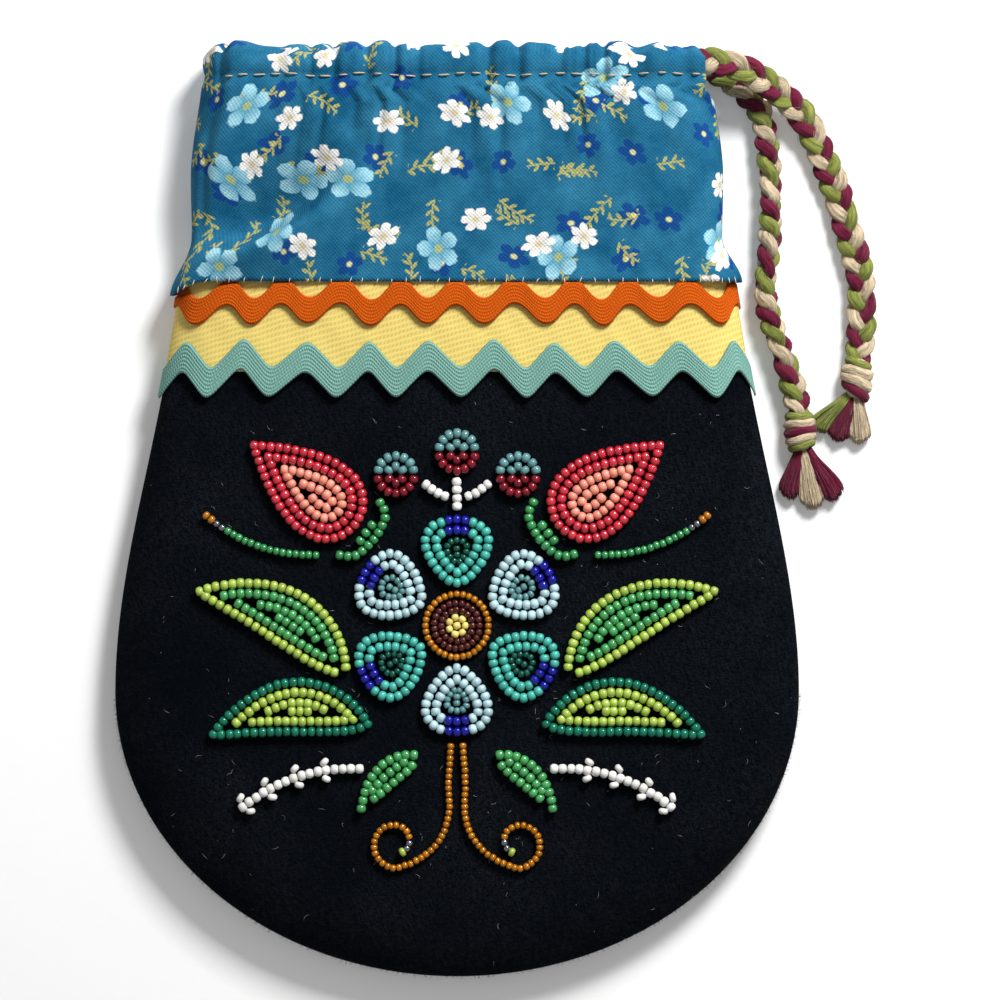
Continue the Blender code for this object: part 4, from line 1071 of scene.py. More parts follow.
# Beadwork


def petal_outline(inset):
    """A petal along +X from the rosette's middle, broader towards its outer end."""
    t = np.linspace(0.0, 2.0 * math.pi, 181)
    along = PETAL_MIDDLE + (PETAL_LENGTH_HALF - inset) * np.cos(t)
    across = (PETAL_WIDTH_HALF - inset) * np.sin(t) * (1.0 + 0.3 * np.cos(t))
    return np.column_stack([along, across])


def bud_outline():
    """A pointed bud along +X from its base: a teardrop with its tip away from the base."""
    t = np.linspace(0.0, 2.0 * math.pi, 241)
    along = BUD_LENGTH / 2.0 * (1.0 + np.cos(t))
    across = BUD_WIDTH_HALF * 1.18 * np.sin(t) * np.abs(np.sin(t / 2.0)) ** 1.1
    return np.column_stack([along, across])


def leaf_outline(start, end, half_width, bow):
    """A pointed leaf between two points, bowed to one side, from its tip round to its tip."""
    start, end = np.array(start), np.array(end)
    axis = end - start
    length = np.linalg.norm(axis)
    side = np.array([-axis[1], axis[0]]) / length
    t = np.linspace(0.0, 2.0 * math.pi, 241)
    along = 0.5 + 0.5 * np.cos(t)
    across = half_width * np.sin(t) * np.abs(np.sin(t)) ** 0.35 * (1.0 - 0.25 * np.cos(t))
    middle = bow * length * 4.0 * along * (1.0 - along)
    return start + np.outer(along, axis) + np.outer(across + middle, side)


def inset_row(outline, inset):
    """A row inside a closed outline: its points moved in along their normals, the trimmed tips out.

    A moved point is kept where no point of the outline is nearer to it than the inset.
    """
    ahead = np.roll(outline, -1, axis=0) - np.roll(outline, 1, axis=0)
    x, y = outline.T
    turn = np.sign(np.sum(x * np.roll(y, -1) - np.roll(x, -1) * y))
    inward = unit(np.column_stack([-ahead[:, 1], ahead[:, 0]])) * turn
    moved = outline + inward * inset
    apart = np.linalg.norm(moved[:, None] - outline[None], axis=2).min(axis=1)
    kept = moved[apart > inset * 0.98]
    return np.vstack([kept, kept[:1]])


def nested(outline, rows, finish):
    """Rows of beads side by side inside an outline, the first against its edge."""
    bead = sizes().bead / MM
    return np.concatenate([strung(inset_row(outline[:-1], (row + 0.5) * bead), finish, closed=True)
                           for row in rows])


def bowed_path(start, end, bow, count=60):
    """Points on a parabola between two points, bowed to one side."""
    start, end = np.array(start), np.array(end)
    axis = end - start
    side = np.array([-axis[1], axis[0]]) / np.linalg.norm(axis)
    t = np.linspace(0.0, 1.0, count)
    rise = bow * np.linalg.norm(axis) * 4.0 * t * (1.0 - t)
    return start + np.outer(t, axis) + np.outer(rise, side)


def arc_path(centre, radius, from_degrees, to_degrees):
    """Points along part of a circle, or of a spiral whose radius is given for each of them."""
    angle = np.radians(np.linspace(from_degrees, to_degrees, ARC_POINTS))
    return np.column_stack([centre[0] + radius * np.cos(angle), centre[1] + radius * np.sin(angle)])


def scroll_path():
    """Down from the leaves' foot, out along a low sweep and round into a spiral."""
    turn_off = (SCROLL_START[0] + 0.6, SCROLL_DROP_Y)
    drop = bowed_path(SCROLL_START, turn_off, 0.0, 20)
    sweep = bowed_path(turn_off, (SCROLL_CENTRE[0], SCROLL_CENTRE[1] - SCROLL_R), -0.22, 40)
    spiral = arc_path(SCROLL_CENTRE, np.linspace(SCROLL_R, 2.2, ARC_POINTS), -90.0, 250.0)
    return np.concatenate([drop[:-1], sweep[:-1], spiral])


def strung(path, finish, fine=False, closed=False, spread=1.0):
    """Beads on a thread along a path, a pitch apart: place, heading, diameter, length, finish.

    The count is rounded so that they fill the path evenly.
    """
    bead = (sizes().fine_bead if fine else sizes().bead) / MM
    pitch = (bead * 0.8 if fine else sizes().pitch / MM) * spread
    path = np.asarray(path)
    along = run_along(path)
    count = max(int(round(along[-1] / pitch)), 1)
    at = (np.arange(count) + (0.0 if closed else 0.5)) * along[-1] / count
    x, y = (np.interp(at, along, line) for line in path.T)
    dx, dy = (np.interp(at + 0.3, along, line) - np.interp(at - 0.3, along, line) for line in path.T)
    length = min(along[-1] / count, pitch * 1.04) * 0.99
    return np.column_stack([x, y, np.arctan2(dy, dx), np.full(count, bead), np.full(count, length),
                            np.full(count, FINISH_ORDER.index(finish))])


def recoloured(beads, chosen, finish):
    """The same beads with another finish where chosen."""
    beads = beads.copy()
    beads[chosen, 5] = FINISH_ORDER.index(finish)
    return beads


def turned(beads, origin, degrees):
    """Beads turned by degrees and moved to their origin."""
    beads = beads.copy()
    angle = math.radians(degrees)
    turn = np.array([[math.cos(angle), math.sin(angle)], [-math.sin(angle), math.cos(angle)]])
    beads[:, :2] = beads[:, :2] @ turn + np.array(origin)
    beads[:, 2] += angle
    return beads


def mirrored(beads):
    """The same beads on the other side of the bag."""
    beads = beads.copy()
    beads[:, 0] *= -1.0
    beads[:, 2] = math.pi - beads[:, 2]
    return beads


def without_crowding(beads, share):
    """Leave out each bead that would sit in one sewn before it."""
    kept = np.zeros(len(beads), dtype=bool)
    for k in range(len(beads)):
        near = np.hypot(*(beads[kept, :2] - beads[k, :2]).T)
        room = share * (beads[kept, 3] + beads[k, 3]) / 2.0
        kept[k] = bool(np.all(near > room))
    return beads[kept]


def add_beads(node, beads, seed, share=BEAD_ROOM):
    """A motif's beads as one piece that stands for its CAD pad.

    A bead is a turned ring: its profile goes out from the hole, round the rim and back
    through the hole, and is repeated round the thread. Small seeded differences in size,
    tilt and place keep them from looking stamped.
    """
    beads = without_crowding(beads, share)
    chance = np.random.default_rng(seed)
    count = len(beads)
    x, y, heading, diameter, length, finish = beads.T
    heading = heading + chance.normal(0.0, 0.07, count)
    pitch_up = chance.normal(0.0, 0.05, count)
    diameter = diameter * (1.0 + chance.normal(0.0, 0.022, count))
    length = length * (1.0 + chance.normal(0.0, 0.03, count))
    x = x + chance.normal(0.0, 0.035, count)
    y = y + chance.normal(0.0, 0.035, count)
    z = front_height(x, y) + 0.12 + diameter / 2.0
    thread = np.stack([np.cos(heading) * np.cos(pitch_up), np.sin(heading) * np.cos(pitch_up),
                       np.sin(pitch_up)], axis=-1)
    aside = unit(np.cross(thread, UP))
    above = np.cross(aside, thread)
    angle = np.linspace(0.0, 2.0 * math.pi, BEAD_SIDES, endpoint=False) + math.pi / BEAD_SIDES
    run = (BEAD_PROFILE[:, 0] * length[:, None])[..., None, None]
    reach = (BEAD_PROFILE[:, 1] * (diameter / 2.0)[:, None])[..., None]
    points = (np.stack([x, y, z], axis=-1)[:, None, None] + thread[:, None, None] * run
              + aside[:, None, None] * (reach * np.cos(angle))[..., None]
              + above[:, None, None] * (reach * np.sin(angle))[..., None])
    one = grid_faces(len(BEAD_PROFILE) + 1, BEAD_SIDES, wrap=True) % BEAD_POINTS
    used, slots = np.unique(finish.astype(int), return_inverse=True)
    finishes = [material_named(FINISH_ORDER[k] + "_glass") for k in used]
    tone = np.repeat(chance.uniform(0.0, 1.0, count), BEAD_POINTS)
    add_piece(node + "_beads", points.reshape(-1, 3), repeated(one, count, BEAD_POINTS), finishes,
              [node], tone=tone, slots=np.repeat(slots, BEAD_POINTS))


def on_both_sides(name, beads, seed):
    """The same motif on the right and, mirrored, on the left."""
    add_beads(name.replace("*", "right"), beads, seed)
    add_beads(name.replace("*", "left"), mirrored(beads), seed + 1)


def petal_beads(shade):
    """Two rows round a petal, with cobalt beads at its outer end."""
    rows = nested(petal_outline(0.0), (0, 1), shade)
    tip = (rows[:, 0] > PETAL_MIDDLE + PETAL_LENGTH_HALF - 3.9) & (np.abs(rows[:, 1]) < 2.7)
    return recoloured(rows, tip, "cobalt")


def drop_beads(shade):
    """A loop of fine glass and a short curl inside it."""
    loop = strung(petal_outline(2.0 * ROW + GAP + 0.7), shade, fine=True, closed=True)
    curl = strung([(PETAL_MIDDLE - 1.4, 0.0), (PETAL_MIDDLE + 1.3, 0.0)], shade, fine=True)
    return np.concatenate([loop, curl])


def round_rosette(radius, shade, spread=1.0):
    """A ring of fine beads round the rosette's middle."""
    return strung(arc_path(ROSETTE, radius, 0.0, 360.0), shade, fine=True, closed=True, spread=spread)


def sew_rosette():
    """Six ringed petals with a drop in each, round a gold ring, a maroon ring and a centre."""
    for k in range(PETALS):
        petal, drop = (("turquoise", "emerald"), ("pale_blue", "aqua"))[k % 2]
        number = str(k + 1)
        heading = 90.0 + 360.0 / PETALS * k
        add_beads("petal_" + number, turned(petal_beads(petal), ROSETTE, heading),
                  100 + k)
        add_beads("petal_drop_" + number, turned(drop_beads(drop), ROSETTE, heading),
                  120 + k, FINE_ROOM)
    add_beads("rosette_gold_ring", round_rosette(GOLD_RING_R, "gold"), 140, FINE_ROOM)
    rows = [round_rosette(radius, "brown") for radius in (4.75, 3.3)]
    add_beads("rosette_maroon_ring", np.concatenate(rows), 141, FINE_ROOM)
    middle = [[*ROSETTE, 0.3, 1.7, 1.5, FINISH_ORDER.index("yellow")]]
    centre = np.concatenate([middle, round_rosette(1.72, "yellow", spread=1.15)])
    add_beads("rosette_yellow_centre", centre, 142, FINE_ROOM)


def sew_buds():
    """Pointed red buds with a coral fill and green sepals at the base."""
    shell = nested(bud_outline(), (0, 1), "red")
    on_both_sides("bud_*_shell", turned(shell, BUD_BASE, BUD_ANGLE), 150)
    within = np.concatenate([nested(bud_outline(), (2, 3), "coral"),
                             strung([(9.6, 0.0), (13.4, 0.0)], "maroon")])
    on_both_sides("bud_*_fill", turned(within, BUD_BASE, BUD_ANGLE), 152)
    outer = smooth_route([(0.5, -7.3), (-2.9, -5.2), (-3.95, 0.0), (-2.9, 5.2), (0.5, 7.3)], 0.2)
    inner = smooth_route([(-1.9, -3.0), (-1.8, 0.0), (-1.9, 3.0)], 0.2)
    sepals = np.concatenate([strung(outer, "green"), strung(inner, "green")])
    on_both_sides("bud_*_sepals", turned(sepals, BUD_BASE, BUD_ANGLE), 154)


def sew_berries():
    """Three round berries, aqua above and dark red below, on a forked white stem."""
    places = {"left": (-BERRY_SIDE[0], BERRY_SIDE[1]), "middle": BERRY_TOP, "right": BERRY_SIDE}
    for k, (side, centre) in enumerate(places.items()):
        for part, shade, start, up in (("aqua", "aqua", 0.0, 0.12), ("red", "maroon", 180.0, -0.12)):
            middle = (centre[0], centre[1] + up)
            rows = [strung(arc_path(middle, radius, start, start + 180.0), shade)
                    for radius in (BERRY_R - 1.1, BERRY_R - 3.3)]
            add_beads("berry_" + side + "_" + part, np.concatenate(rows), 160 + k,
                      FINE_ROOM)
    arm_end = (BERRY_SIDE[0] - BERRY_R - 0.8, BERRY_SIDE[1] - 1.5)
    arm = smooth_route([(1.7, 2.9), (4.2, 3.9), arm_end], 0.2)
    arm_beads = strung(arm, "white")
    trunk = strung([(0.0, 0.1), (0.0, 7.0)], "white")
    add_beads("white_stem", np.concatenate([trunk, arm_beads, mirrored(arm_beads)]), 170)


def leaf_beads(leaf, rows, finish):
    """Rows of beads inside a leaf's outline."""
    return nested(leaf_outline(*leaf), rows, finish)


def sew_leaves():
    """Ringed lime and dark green leaves, and a small plain one, on each side."""
    parts = (("lime_leaf_*_rim", LIME_LEAF, (0,), "lime", 180),
             ("lime_leaf_*_fill", LIME_LEAF, (1, 2), "mid_green", 182),
             ("dark_leaf_*_rim", DARK_LEAF, (0,), "dark_green", 184),
             ("dark_leaf_*_fill", DARK_LEAF, (1, 2), "lime", 186))
    for name, leaf, rows, shade, seed in parts:
        on_both_sides(name, leaf_beads(leaf, rows, shade), seed)
    small = np.concatenate([leaf_beads(SMALL_LEAF, (0,), "mid_green"),
                            strung(bowed_path(*SMALL_LEAF[:2], SMALL_LEAF[3]), "mid_green")])
    on_both_sides("small_leaf_*", small, 188)


def sew_sprays():
    """White sprigs, green curls with steel and amber ends, and gold scrolls."""
    stem = bowed_path(*SPRIG)
    rows = [strung(stem, "white")]
    ahead = unit(np.gradient(stem, axis=0))
    for share in (0.24, 0.47, 0.70, 0.90):
        at = int(share * (len(stem) - 1))
        for way in (-1.0, 1.0):
            side = way * np.array([-ahead[at, 1], ahead[at, 0]])
            barb = stem[at] + np.array([side * 1.2 + ahead[at] * 0.9, side * 3.5 + ahead[at] * 2.3])
            rows.append(strung(barb, "white"))
    on_both_sides("white_sprig_*", np.concatenate(rows), 190)
    curl = strung(bowed_path(*CURL), "green", fine=True, spread=1.08)
    curl[:-4, 3] *= 1.12
    curl = recoloured(recoloured(curl, np.s_[-4:], "steel"), np.s_[-2:], "amber")
    curl[-2:, 3] *= 1.2
    on_both_sides("green_curl_*", curl, 192)
    scroll = strung(scroll_path(), "gold", fine=True)
    scroll = recoloured(recoloured(scroll, np.s_[-3:], "steel"), np.s_[-1:], "lime")
    scroll[-1, 3] *= 1.25
    on_both_sides("gold_scroll_*", scroll, 194)


# Materials


def fill(tree, node, inputs):
    """Link or set a node's inputs: sockets or values by the name or number of the input."""
    for key, value in inputs.items():
        if isinstance(value, bpy.types.NodeSocket):
            tree.links.new(value, node.inputs[key])
        else:
            node.inputs[key].default_value = value


def put(tree, kind, inputs=None, **settings):
    """Add a node with its inputs and settings."""
    made = tree.nodes.new("ShaderNode" + kind)
    for key, value in settings.items():
        setattr(made, key, value)
    fill(tree, made, inputs or {})
    return made


def calc(tree, operation, *values):
    """A Math node's result."""
    return put(tree, "Math", dict(enumerate(values)), operation=operation).outputs[0]


def vector(tree, operation, first, second):
    """A Vector Math node's result; the second value of a scale is its factor."""
    place = 3 if operation == "SCALE" else 1
    return put(tree, "VectorMath", {0: first, place: second}, operation=operation).outputs[0]


def split(tree, at):
    """The three coordinates of a place."""
    return put(tree, "SeparateXYZ", {0: at}).outputs


def noise(tree, at, scale, detail, **inputs):
    """A noise texture's value."""
    return put(tree, "TexNoise", {"Vector": at, "Scale": scale, "Detail": detail, **inputs}).outputs[0]


def mean(tree, one, other):
    """Half of one value and half of another."""
    return calc(tree, "MULTIPLY_ADD", one, 0.5, calc(tree, "MULTIPLY", other, 0.5))


def swing(tree, turns):
    """A sine between 0 and 1 that comes round at each whole turn."""
    angle = calc(tree, "MULTIPLY", turns, 2.0 * math.pi)
    return calc(tree, "MULTIPLY_ADD", calc(tree, "SINE", angle), 0.5, 0.5)


def ramp(tree, value, low, high, to_low=0.0, to_high=1.0):
    """A value carried from one range to another and held within it."""
    made = put(tree, "MapRange", {0: value, 1: low, 2: high, 3: to_low, 4: to_high}, clamp=True)
    return made.outputs[0]


def grey(tree, value):
    """A value as a colour."""
    return put(tree, "CombineColor", {0: value, 1: value, 2: value}).outputs[0]


def blended(tree, share, low, high, how="MIX"):
    """Two colours mixed by a share; each is a socket or three values."""
    low, high = (side if isinstance(side, bpy.types.NodeSocket) else (*side, 1.0) for side in (low, high))
    made = put(tree, "Mix", {0: share, 6: low, 7: high}, data_type="RGBA", blend_type=how)
    return made.outputs[2]


def shaded(tree, share, colour, dark, light, lift=0.004):
    """A colour between its darker and its lighter shade."""
    return blended(tree, share, [c * dark for c in colour], [min(c * light + lift, 1.0) for c in colour])


def new_group(name, outputs, **inputs):
    """An empty shader group: the place on the cloth and other inputs' defaults, to plain values."""
    tree = bpy.data.node_groups.new(name, "ShaderNodeTree")
    tree.interface.new_socket("Cloth", in_out="INPUT", socket_type="NodeSocketVector")
    for label, default in inputs.items():
        kind = "NodeSocketVector" if isinstance(default, tuple) else "NodeSocketFloat"
        tree.interface.new_socket(label, in_out="INPUT", socket_type=kind).default_value = default
    for label in outputs:
        tree.interface.new_socket(label, in_out="OUTPUT", socket_type="NodeSocketFloat")
    return tree, tree.nodes.new("NodeGroupInput").outputs, tree.nodes.new("NodeGroupOutput")


def use(tree, name, **inputs):
    """Place a group in a material with its own values."""
    made = tree.nodes.new("ShaderNodeGroup")
    made.node_tree = bpy.data.node_groups[name]
    fill(tree, made, inputs)
    return made.outputs


def make_weave_group():
    """Plain weave: the product of two sines, one for each thread, with uneven yarn; its tone holds painted
    shade where the threads dip.
    """
    tree, given, result = new_group("Weave", ("Height", "Tone"), Thread=0.4)
    x, y, _ = split(tree, given["Cloth"])
    turn = calc(tree, "DIVIDE", math.pi, given["Thread"])
    lean = calc(tree, "MULTIPLY", noise(tree, given["Cloth"], 0.8, 2.0), 4.0)
    warp = calc(tree, "SINE", calc(tree, "MULTIPLY_ADD", x, turn, lean))
    weft = calc(tree, "SINE", calc(tree, "MULTIPLY_ADD", y, turn, lean))
    over = calc(tree, "MULTIPLY_ADD", calc(tree, "MULTIPLY", warp, weft), 0.5, 0.5)
    slub = noise(tree, vector(tree, "MULTIPLY", given["Cloth"], (0.5, 3.0, 1.0)), 1.0, 3.0)
    # Tone: the yarn's slubs, plus painted shade where a thread dips under the other and painted light
    # where it rides over.
    fill(tree, result, {"Height": over, "Tone": mean(tree, slub, over)})


def make_fibre_group():
    """Fibres: noise drawn out along the cloth's first direction, coarse and fine together."""
    tree, given, result = new_group("Fibres", ("Height", "Tone"), Across=6.0, Along=0.5)
    drawn = put(tree, "CombineXYZ", {0: given["Along"], 1: given["Across"], 2: 1.0}).outputs[0]
    at = vector(tree, "MULTIPLY", given["Cloth"], drawn)
    height = mean(tree, noise(tree, at, 0.6, 2.0, Distortion=0.4),
                  noise(tree, at, 2.2, 3.0, Distortion=0.2))
    # Tone: lighter on the raised fibres and darker between them, partly fibre streaks and partly painted
    # shade.
    fill(tree, result, {"Height": height, "Tone": ramp(tree, height, 0.35, 0.65)})


def make_twill_group():
    """Twill: slanting ribs as a sine of the place across them, cut into short threads."""
    tree, given, result = new_group("Twill", ("Height", "Tone"), Rib=1.2, Slope=0.3, Thread=0.45)
    x, y, _ = split(tree, given["Cloth"])
    waver = noise(tree, given["Cloth"], 0.25, 2.0)
    slant = calc(tree, "SUBTRACT", y, calc(tree, "MULTIPLY", x, given["Slope"]))
    slant = calc(tree, "MULTIPLY_ADD", waver, 0.9, slant)
    rib = swing(tree, calc(tree, "DIVIDE", slant, given["Rib"]))
    run = calc(tree, "ADD", x, calc(tree, "MULTIPLY", slant, 0.55))
    thread = swing(tree, calc(tree, "DIVIDE", run, given["Thread"]))
    dash = calc(tree, "MAXIMUM", rib, calc(tree, "MULTIPLY", thread, 0.8))
    # Tone: painted light on the ribs and threads and painted shade between them, with a slow uneven waver.
    tone = calc(tree, "MULTIPLY_ADD", dash, 0.7, calc(tree, "MULTIPLY", waver, 0.5))
    fill(tree, result, {"Height": dash, "Tone": tone})


def make_braid_group():
    """Rickrack's ribs with a herringbone of short threads, each rib leaning the other way."""
    tree, given, result = new_group("Ribbed braid", ("Height", "Tone"), Rib=0.61, Thread=0.55)
    x, y, _ = split(tree, given["Cloth"])
    ribs = calc(tree, "DIVIDE", calc(tree, "ADD", y, BRAID_START), given["Rib"])
    within = calc(tree, "FRACT", ribs)
    groove = calc(tree, "SINE", calc(tree, "MULTIPLY", within, math.pi))
    odd = calc(tree, "GREATER_THAN", calc(tree, "FRACT", calc(tree, "MULTIPLY", ribs, 0.5)), 0.5)
    way = calc(tree, "MULTIPLY_ADD", odd, 2.0, -1.0)
    slant = calc(tree, "MULTIPLY", calc(tree, "MULTIPLY", within, way), 0.45)
    thread = swing(tree, calc(tree, "ADD", calc(tree, "DIVIDE", x, given["Thread"]), slant))
    height = mean(tree, groove, thread)
    # Tone: painted shade in the grooves between ribs and threads and painted light on top, with uneven
    # noise.
    tone = calc(tree, "MULTIPLY_ADD", noise(tree, given["Cloth"], 2.4, 3.0), 0.6,
                calc(tree, "MULTIPLY_ADD", height, 0.7, -0.1))
    fill(tree, result, {"Height": height, "Tone": tone})


def local_place(tree, given):
    """Each Voronoi cell's own coordinates, turned at random: run, rise, and three random values."""
    cell = vector(tree, "SCALE", given["Cloth"], calc(tree, "DIVIDE", 1.0, given["Cell"]))
    moved = vector(tree, "ADD", cell, given["Shift"])
    found = put(tree, "TexVoronoi", {"Vector": moved, "Scale": 1.0, "Randomness": 0.78},
                voronoi_dimensions="2D", feature="F1").outputs
    local = vector(tree, "SCALE", vector(tree, "SUBTRACT", moved, found["Position"]), given["Cell"])
    chance = put(tree, "SeparateColor", {0: found["Color"]}).outputs
    turn = calc(tree, "MULTIPLY", chance[0], 2.0 * math.pi)
    spun = put(tree, "VectorRotate", {"Vector": local, "Angle": turn}, rotation_type="Z_AXIS")
    run, rise, _ = split(tree, spun.outputs[0])
    return run, rise, chance


def make_blossom_group():
    """A printed blossom in each cell: its edge is a radius that swells with the petals' cosine."""
    tree, given, result = new_group("Printed blossom", ("Petals", "Centre", "Tone"), **PRINT_INPUTS)
    run, rise, chance = local_place(tree, given)
    soften = calc(tree, "MULTIPLY_ADD", noise(tree, given["Cloth"], 0.9, 3.0), 1.5, -0.75)
    squash = calc(tree, "MULTIPLY", rise, ramp(tree, chance[2], 0.0, 1.0, 1.0, 1.5))
    radius = calc(tree, "SQRT", calc(tree, "ADD", calc(tree, "MULTIPLY", run, run),
                                     calc(tree, "MULTIPLY", squash, squash)))
    lobe_turn = calc(tree, "MULTIPLY", calc(tree, "ARCTAN2", squash, run),
                     calc(tree, "MULTIPLY", given["Petals"], 0.5))
    lobes = calc(tree, "ABSOLUTE", calc(tree, "COSINE", lobe_turn))
    size = calc(tree, "MULTIPLY", given["Size"], ramp(tree, chance[2], 0.0, 1.0, 0.78, 1.12))
    edge = calc(tree, "MULTIPLY", size, calc(tree, "MULTIPLY_ADD", calc(
        tree, "POWER", lobes, 0.6), 0.5, 0.5))
    inside = calc(tree, "SUBTRACT", calc(tree, "ADD", edge, soften), radius)
    kept = calc(tree, "LESS_THAN", chance[1], given["Share"])
    petals = calc(tree, "MULTIPLY", ramp(tree, inside, -0.12, 0.28), kept)
    core = calc(tree, "SUBTRACT", calc(tree, "MULTIPLY", size, 0.2), radius)
    centre = calc(tree, "MULTIPLY", ramp(tree, core, -0.2, 0.2), kept)
    depth = calc(tree, "ADD", calc(tree, "DIVIDE", radius, size), calc(tree, "MULTIPLY", soften, 0.3))
    tone = calc(tree, "MULTIPLY", calc(tree, "POWER", lobes, 0.35), ramp(tree, depth, 0.1, 0.8))
    fill(tree, result, {"Petals": petals, "Centre": centre, "Tone": tone})


def make_sprig_group():
    """A printed leafy sprig in each cell: a bowed stem with pairs of slanting oval leaves."""
    tree, given, result = new_group("Printed sprig", ("Leaves",), **PRINT_INPUTS)
    run, rise, chance = local_place(tree, given)
    size = given["Size"]
    bow = calc(tree, "MULTIPLY", calc(tree, "MULTIPLY", run, run), ramp(
        tree, chance[2], 0.0, 1.0, -0.09, 0.09))
    rise = calc(tree, "ADD", calc(tree, "ADD", rise, bow),
                calc(tree, "MULTIPLY_ADD", noise(tree, given["Cloth"], 1.3, 2.0), 0.7, -0.35))
    height = calc(tree, "ABSOLUTE", rise)
    reach = calc(tree, "ABSOLUTE", run)
    within = ramp(tree, calc(tree, "SUBTRACT", size, reach), 0.0, 0.3)
    stem = calc(tree, "MULTIPLY", ramp(tree, height, 0.12, 0.3, 1.0, 0.0), within)
    period = 2.1
    stagger = calc(tree, "MULTIPLY", calc(tree, "GREATER_THAN", rise, 0.0), period / 2.0)
    step = calc(tree, "SUBTRACT", calc(tree, "WRAP", calc(tree, "ADD", run, stagger), period, 0.0),
                period / 2.0)
    off = calc(tree, "SUBTRACT", height, 0.78)
    long = calc(tree, "MULTIPLY", calc(tree, "ADD", step, off), 0.62)
    wide = calc(tree, "MULTIPLY", calc(tree, "SUBTRACT", step, off), 1.55)
    oval = calc(tree, "ADD", calc(tree, "MULTIPLY", long, long), calc(tree, "MULTIPLY", wide, wide))
    short = calc(tree, "GREATER_THAN", calc(tree, "SUBTRACT", size, 0.4), reach)
    leaf = calc(tree, "MULTIPLY", ramp(tree, oval, 0.38, 0.75, 1.0, 0.0), short)
    kept = calc(tree, "LESS_THAN", chance[1], given["Share"])
    fill(tree, result, {"Leaves": calc(tree, "MULTIPLY", calc(tree, "MAXIMUM", stem, leaf), kept)})


def new_material(name):
    """A new material's tree and its Principled BSDF."""
    made = bpy.data.materials.new(name)
    made.use_nodes = True
    return made.node_tree, made.node_tree.nodes["Principled BSDF"]


def material_named(name):
    """A material by its name."""
    return bpy.data.materials[name]


def cloth_place(tree):
    """The piece's UV map in millimetres."""
    return vector(tree, "SCALE", put(tree, "UVMap", uv_map="UVMap").outputs[0], 1.0 / MM)


def solid_place(tree):
    """Object coordinates in millimetres."""
    return vector(tree, "SCALE", put(tree, "TexCoord").outputs["Object"], 1.0 / MM)


def bumped(tree, height, distance):
    """The normal over a height, with the relief's full depth in millimetres."""
    return put(tree, "Bump", {"Height": height, "Distance": distance * MM}).outputs[0]


def finish_cloth(tree, shader, colour, roughness, specular, sheen=0.0, **relief):
    """A cloth's or a thread's surface."""
    fill(tree, shader, {"Base Color": colour, "Roughness": roughness, "Specular IOR Level": specular,
                        "Sheen Weight": sheen, "Sheen Roughness": 0.5, **relief})


def make_wool():
    """Milled wool: matted fibres in two directions, faint cloudiness and a few pale specks."""
    tree, shader = new_material("milled_wool")
    at = solid_place(tree)
    askew = put(tree, "VectorRotate", {"Vector": at, "Angle": 1.2}, rotation_type="Z_AXIS").outputs[0]
    mat = mean(tree, use(tree, "Fibres", Cloth=at, Across=5.0, Along=1.6)["Height"],
               use(tree, "Fibres", Cloth=askew, Across=4.0, Along=1.2)["Height"])
    cloud = ramp(tree, noise(tree, at, 0.05, 4.0), 0.3, 0.7, 0.2, 1.0)
    tinted = shaded(tree, calc(tree, "MULTIPLY", ramp(tree, mat, 0.45, 0.66), cloud), colours().wool,
                    1.0, 3.0, 0.013)
    specks = put(tree, "TexVoronoi", {"Vector": at, "Scale": 0.42, "Randomness": 1.0}).outputs
    chance = put(tree, "SeparateColor", {0: specks["Color"]}).outputs[0]
    dot = calc(tree, "MULTIPLY", ramp(tree, specks["Distance"], 0.03, 0.055, 1.0, 0.0),
               calc(tree, "GREATER_THAN", chance, 0.93))
    tinted = blended(tree, calc(tree, "MULTIPLY", dot, 0.55), tinted, (0.4, 0.42, 0.42))
    finish_cloth(tree, shader, tinted, 1.0, 0.03, Normal=bumped(tree, mat, 0.55))


def make_fibre(name, colour, light):
    """Loose fibres of the wool or the lint on it."""
    tree, shader = new_material(name)
    uneven = noise(tree, solid_place(tree), 0.5, 1.0)
    finish_cloth(tree, shader, shaded(tree, uneven, colour, 1.0, light, 0.0), 0.8, 0.2)


def printed(tree, tinted, at, cover, shades, centre, **values):
    """Blossoms over a colour: their shades run from the petals' creases to their faces."""
    blossom = use(tree, "Printed blossom", Cloth=at, **values)
    petals = blended(tree, blossom["Tone"], *shades)
    tinted = blended(tree, calc(tree, "MULTIPLY", blossom["Petals"], cover), tinted, petals)
    return blended(tree, blossom["Centre"], tinted, centre)


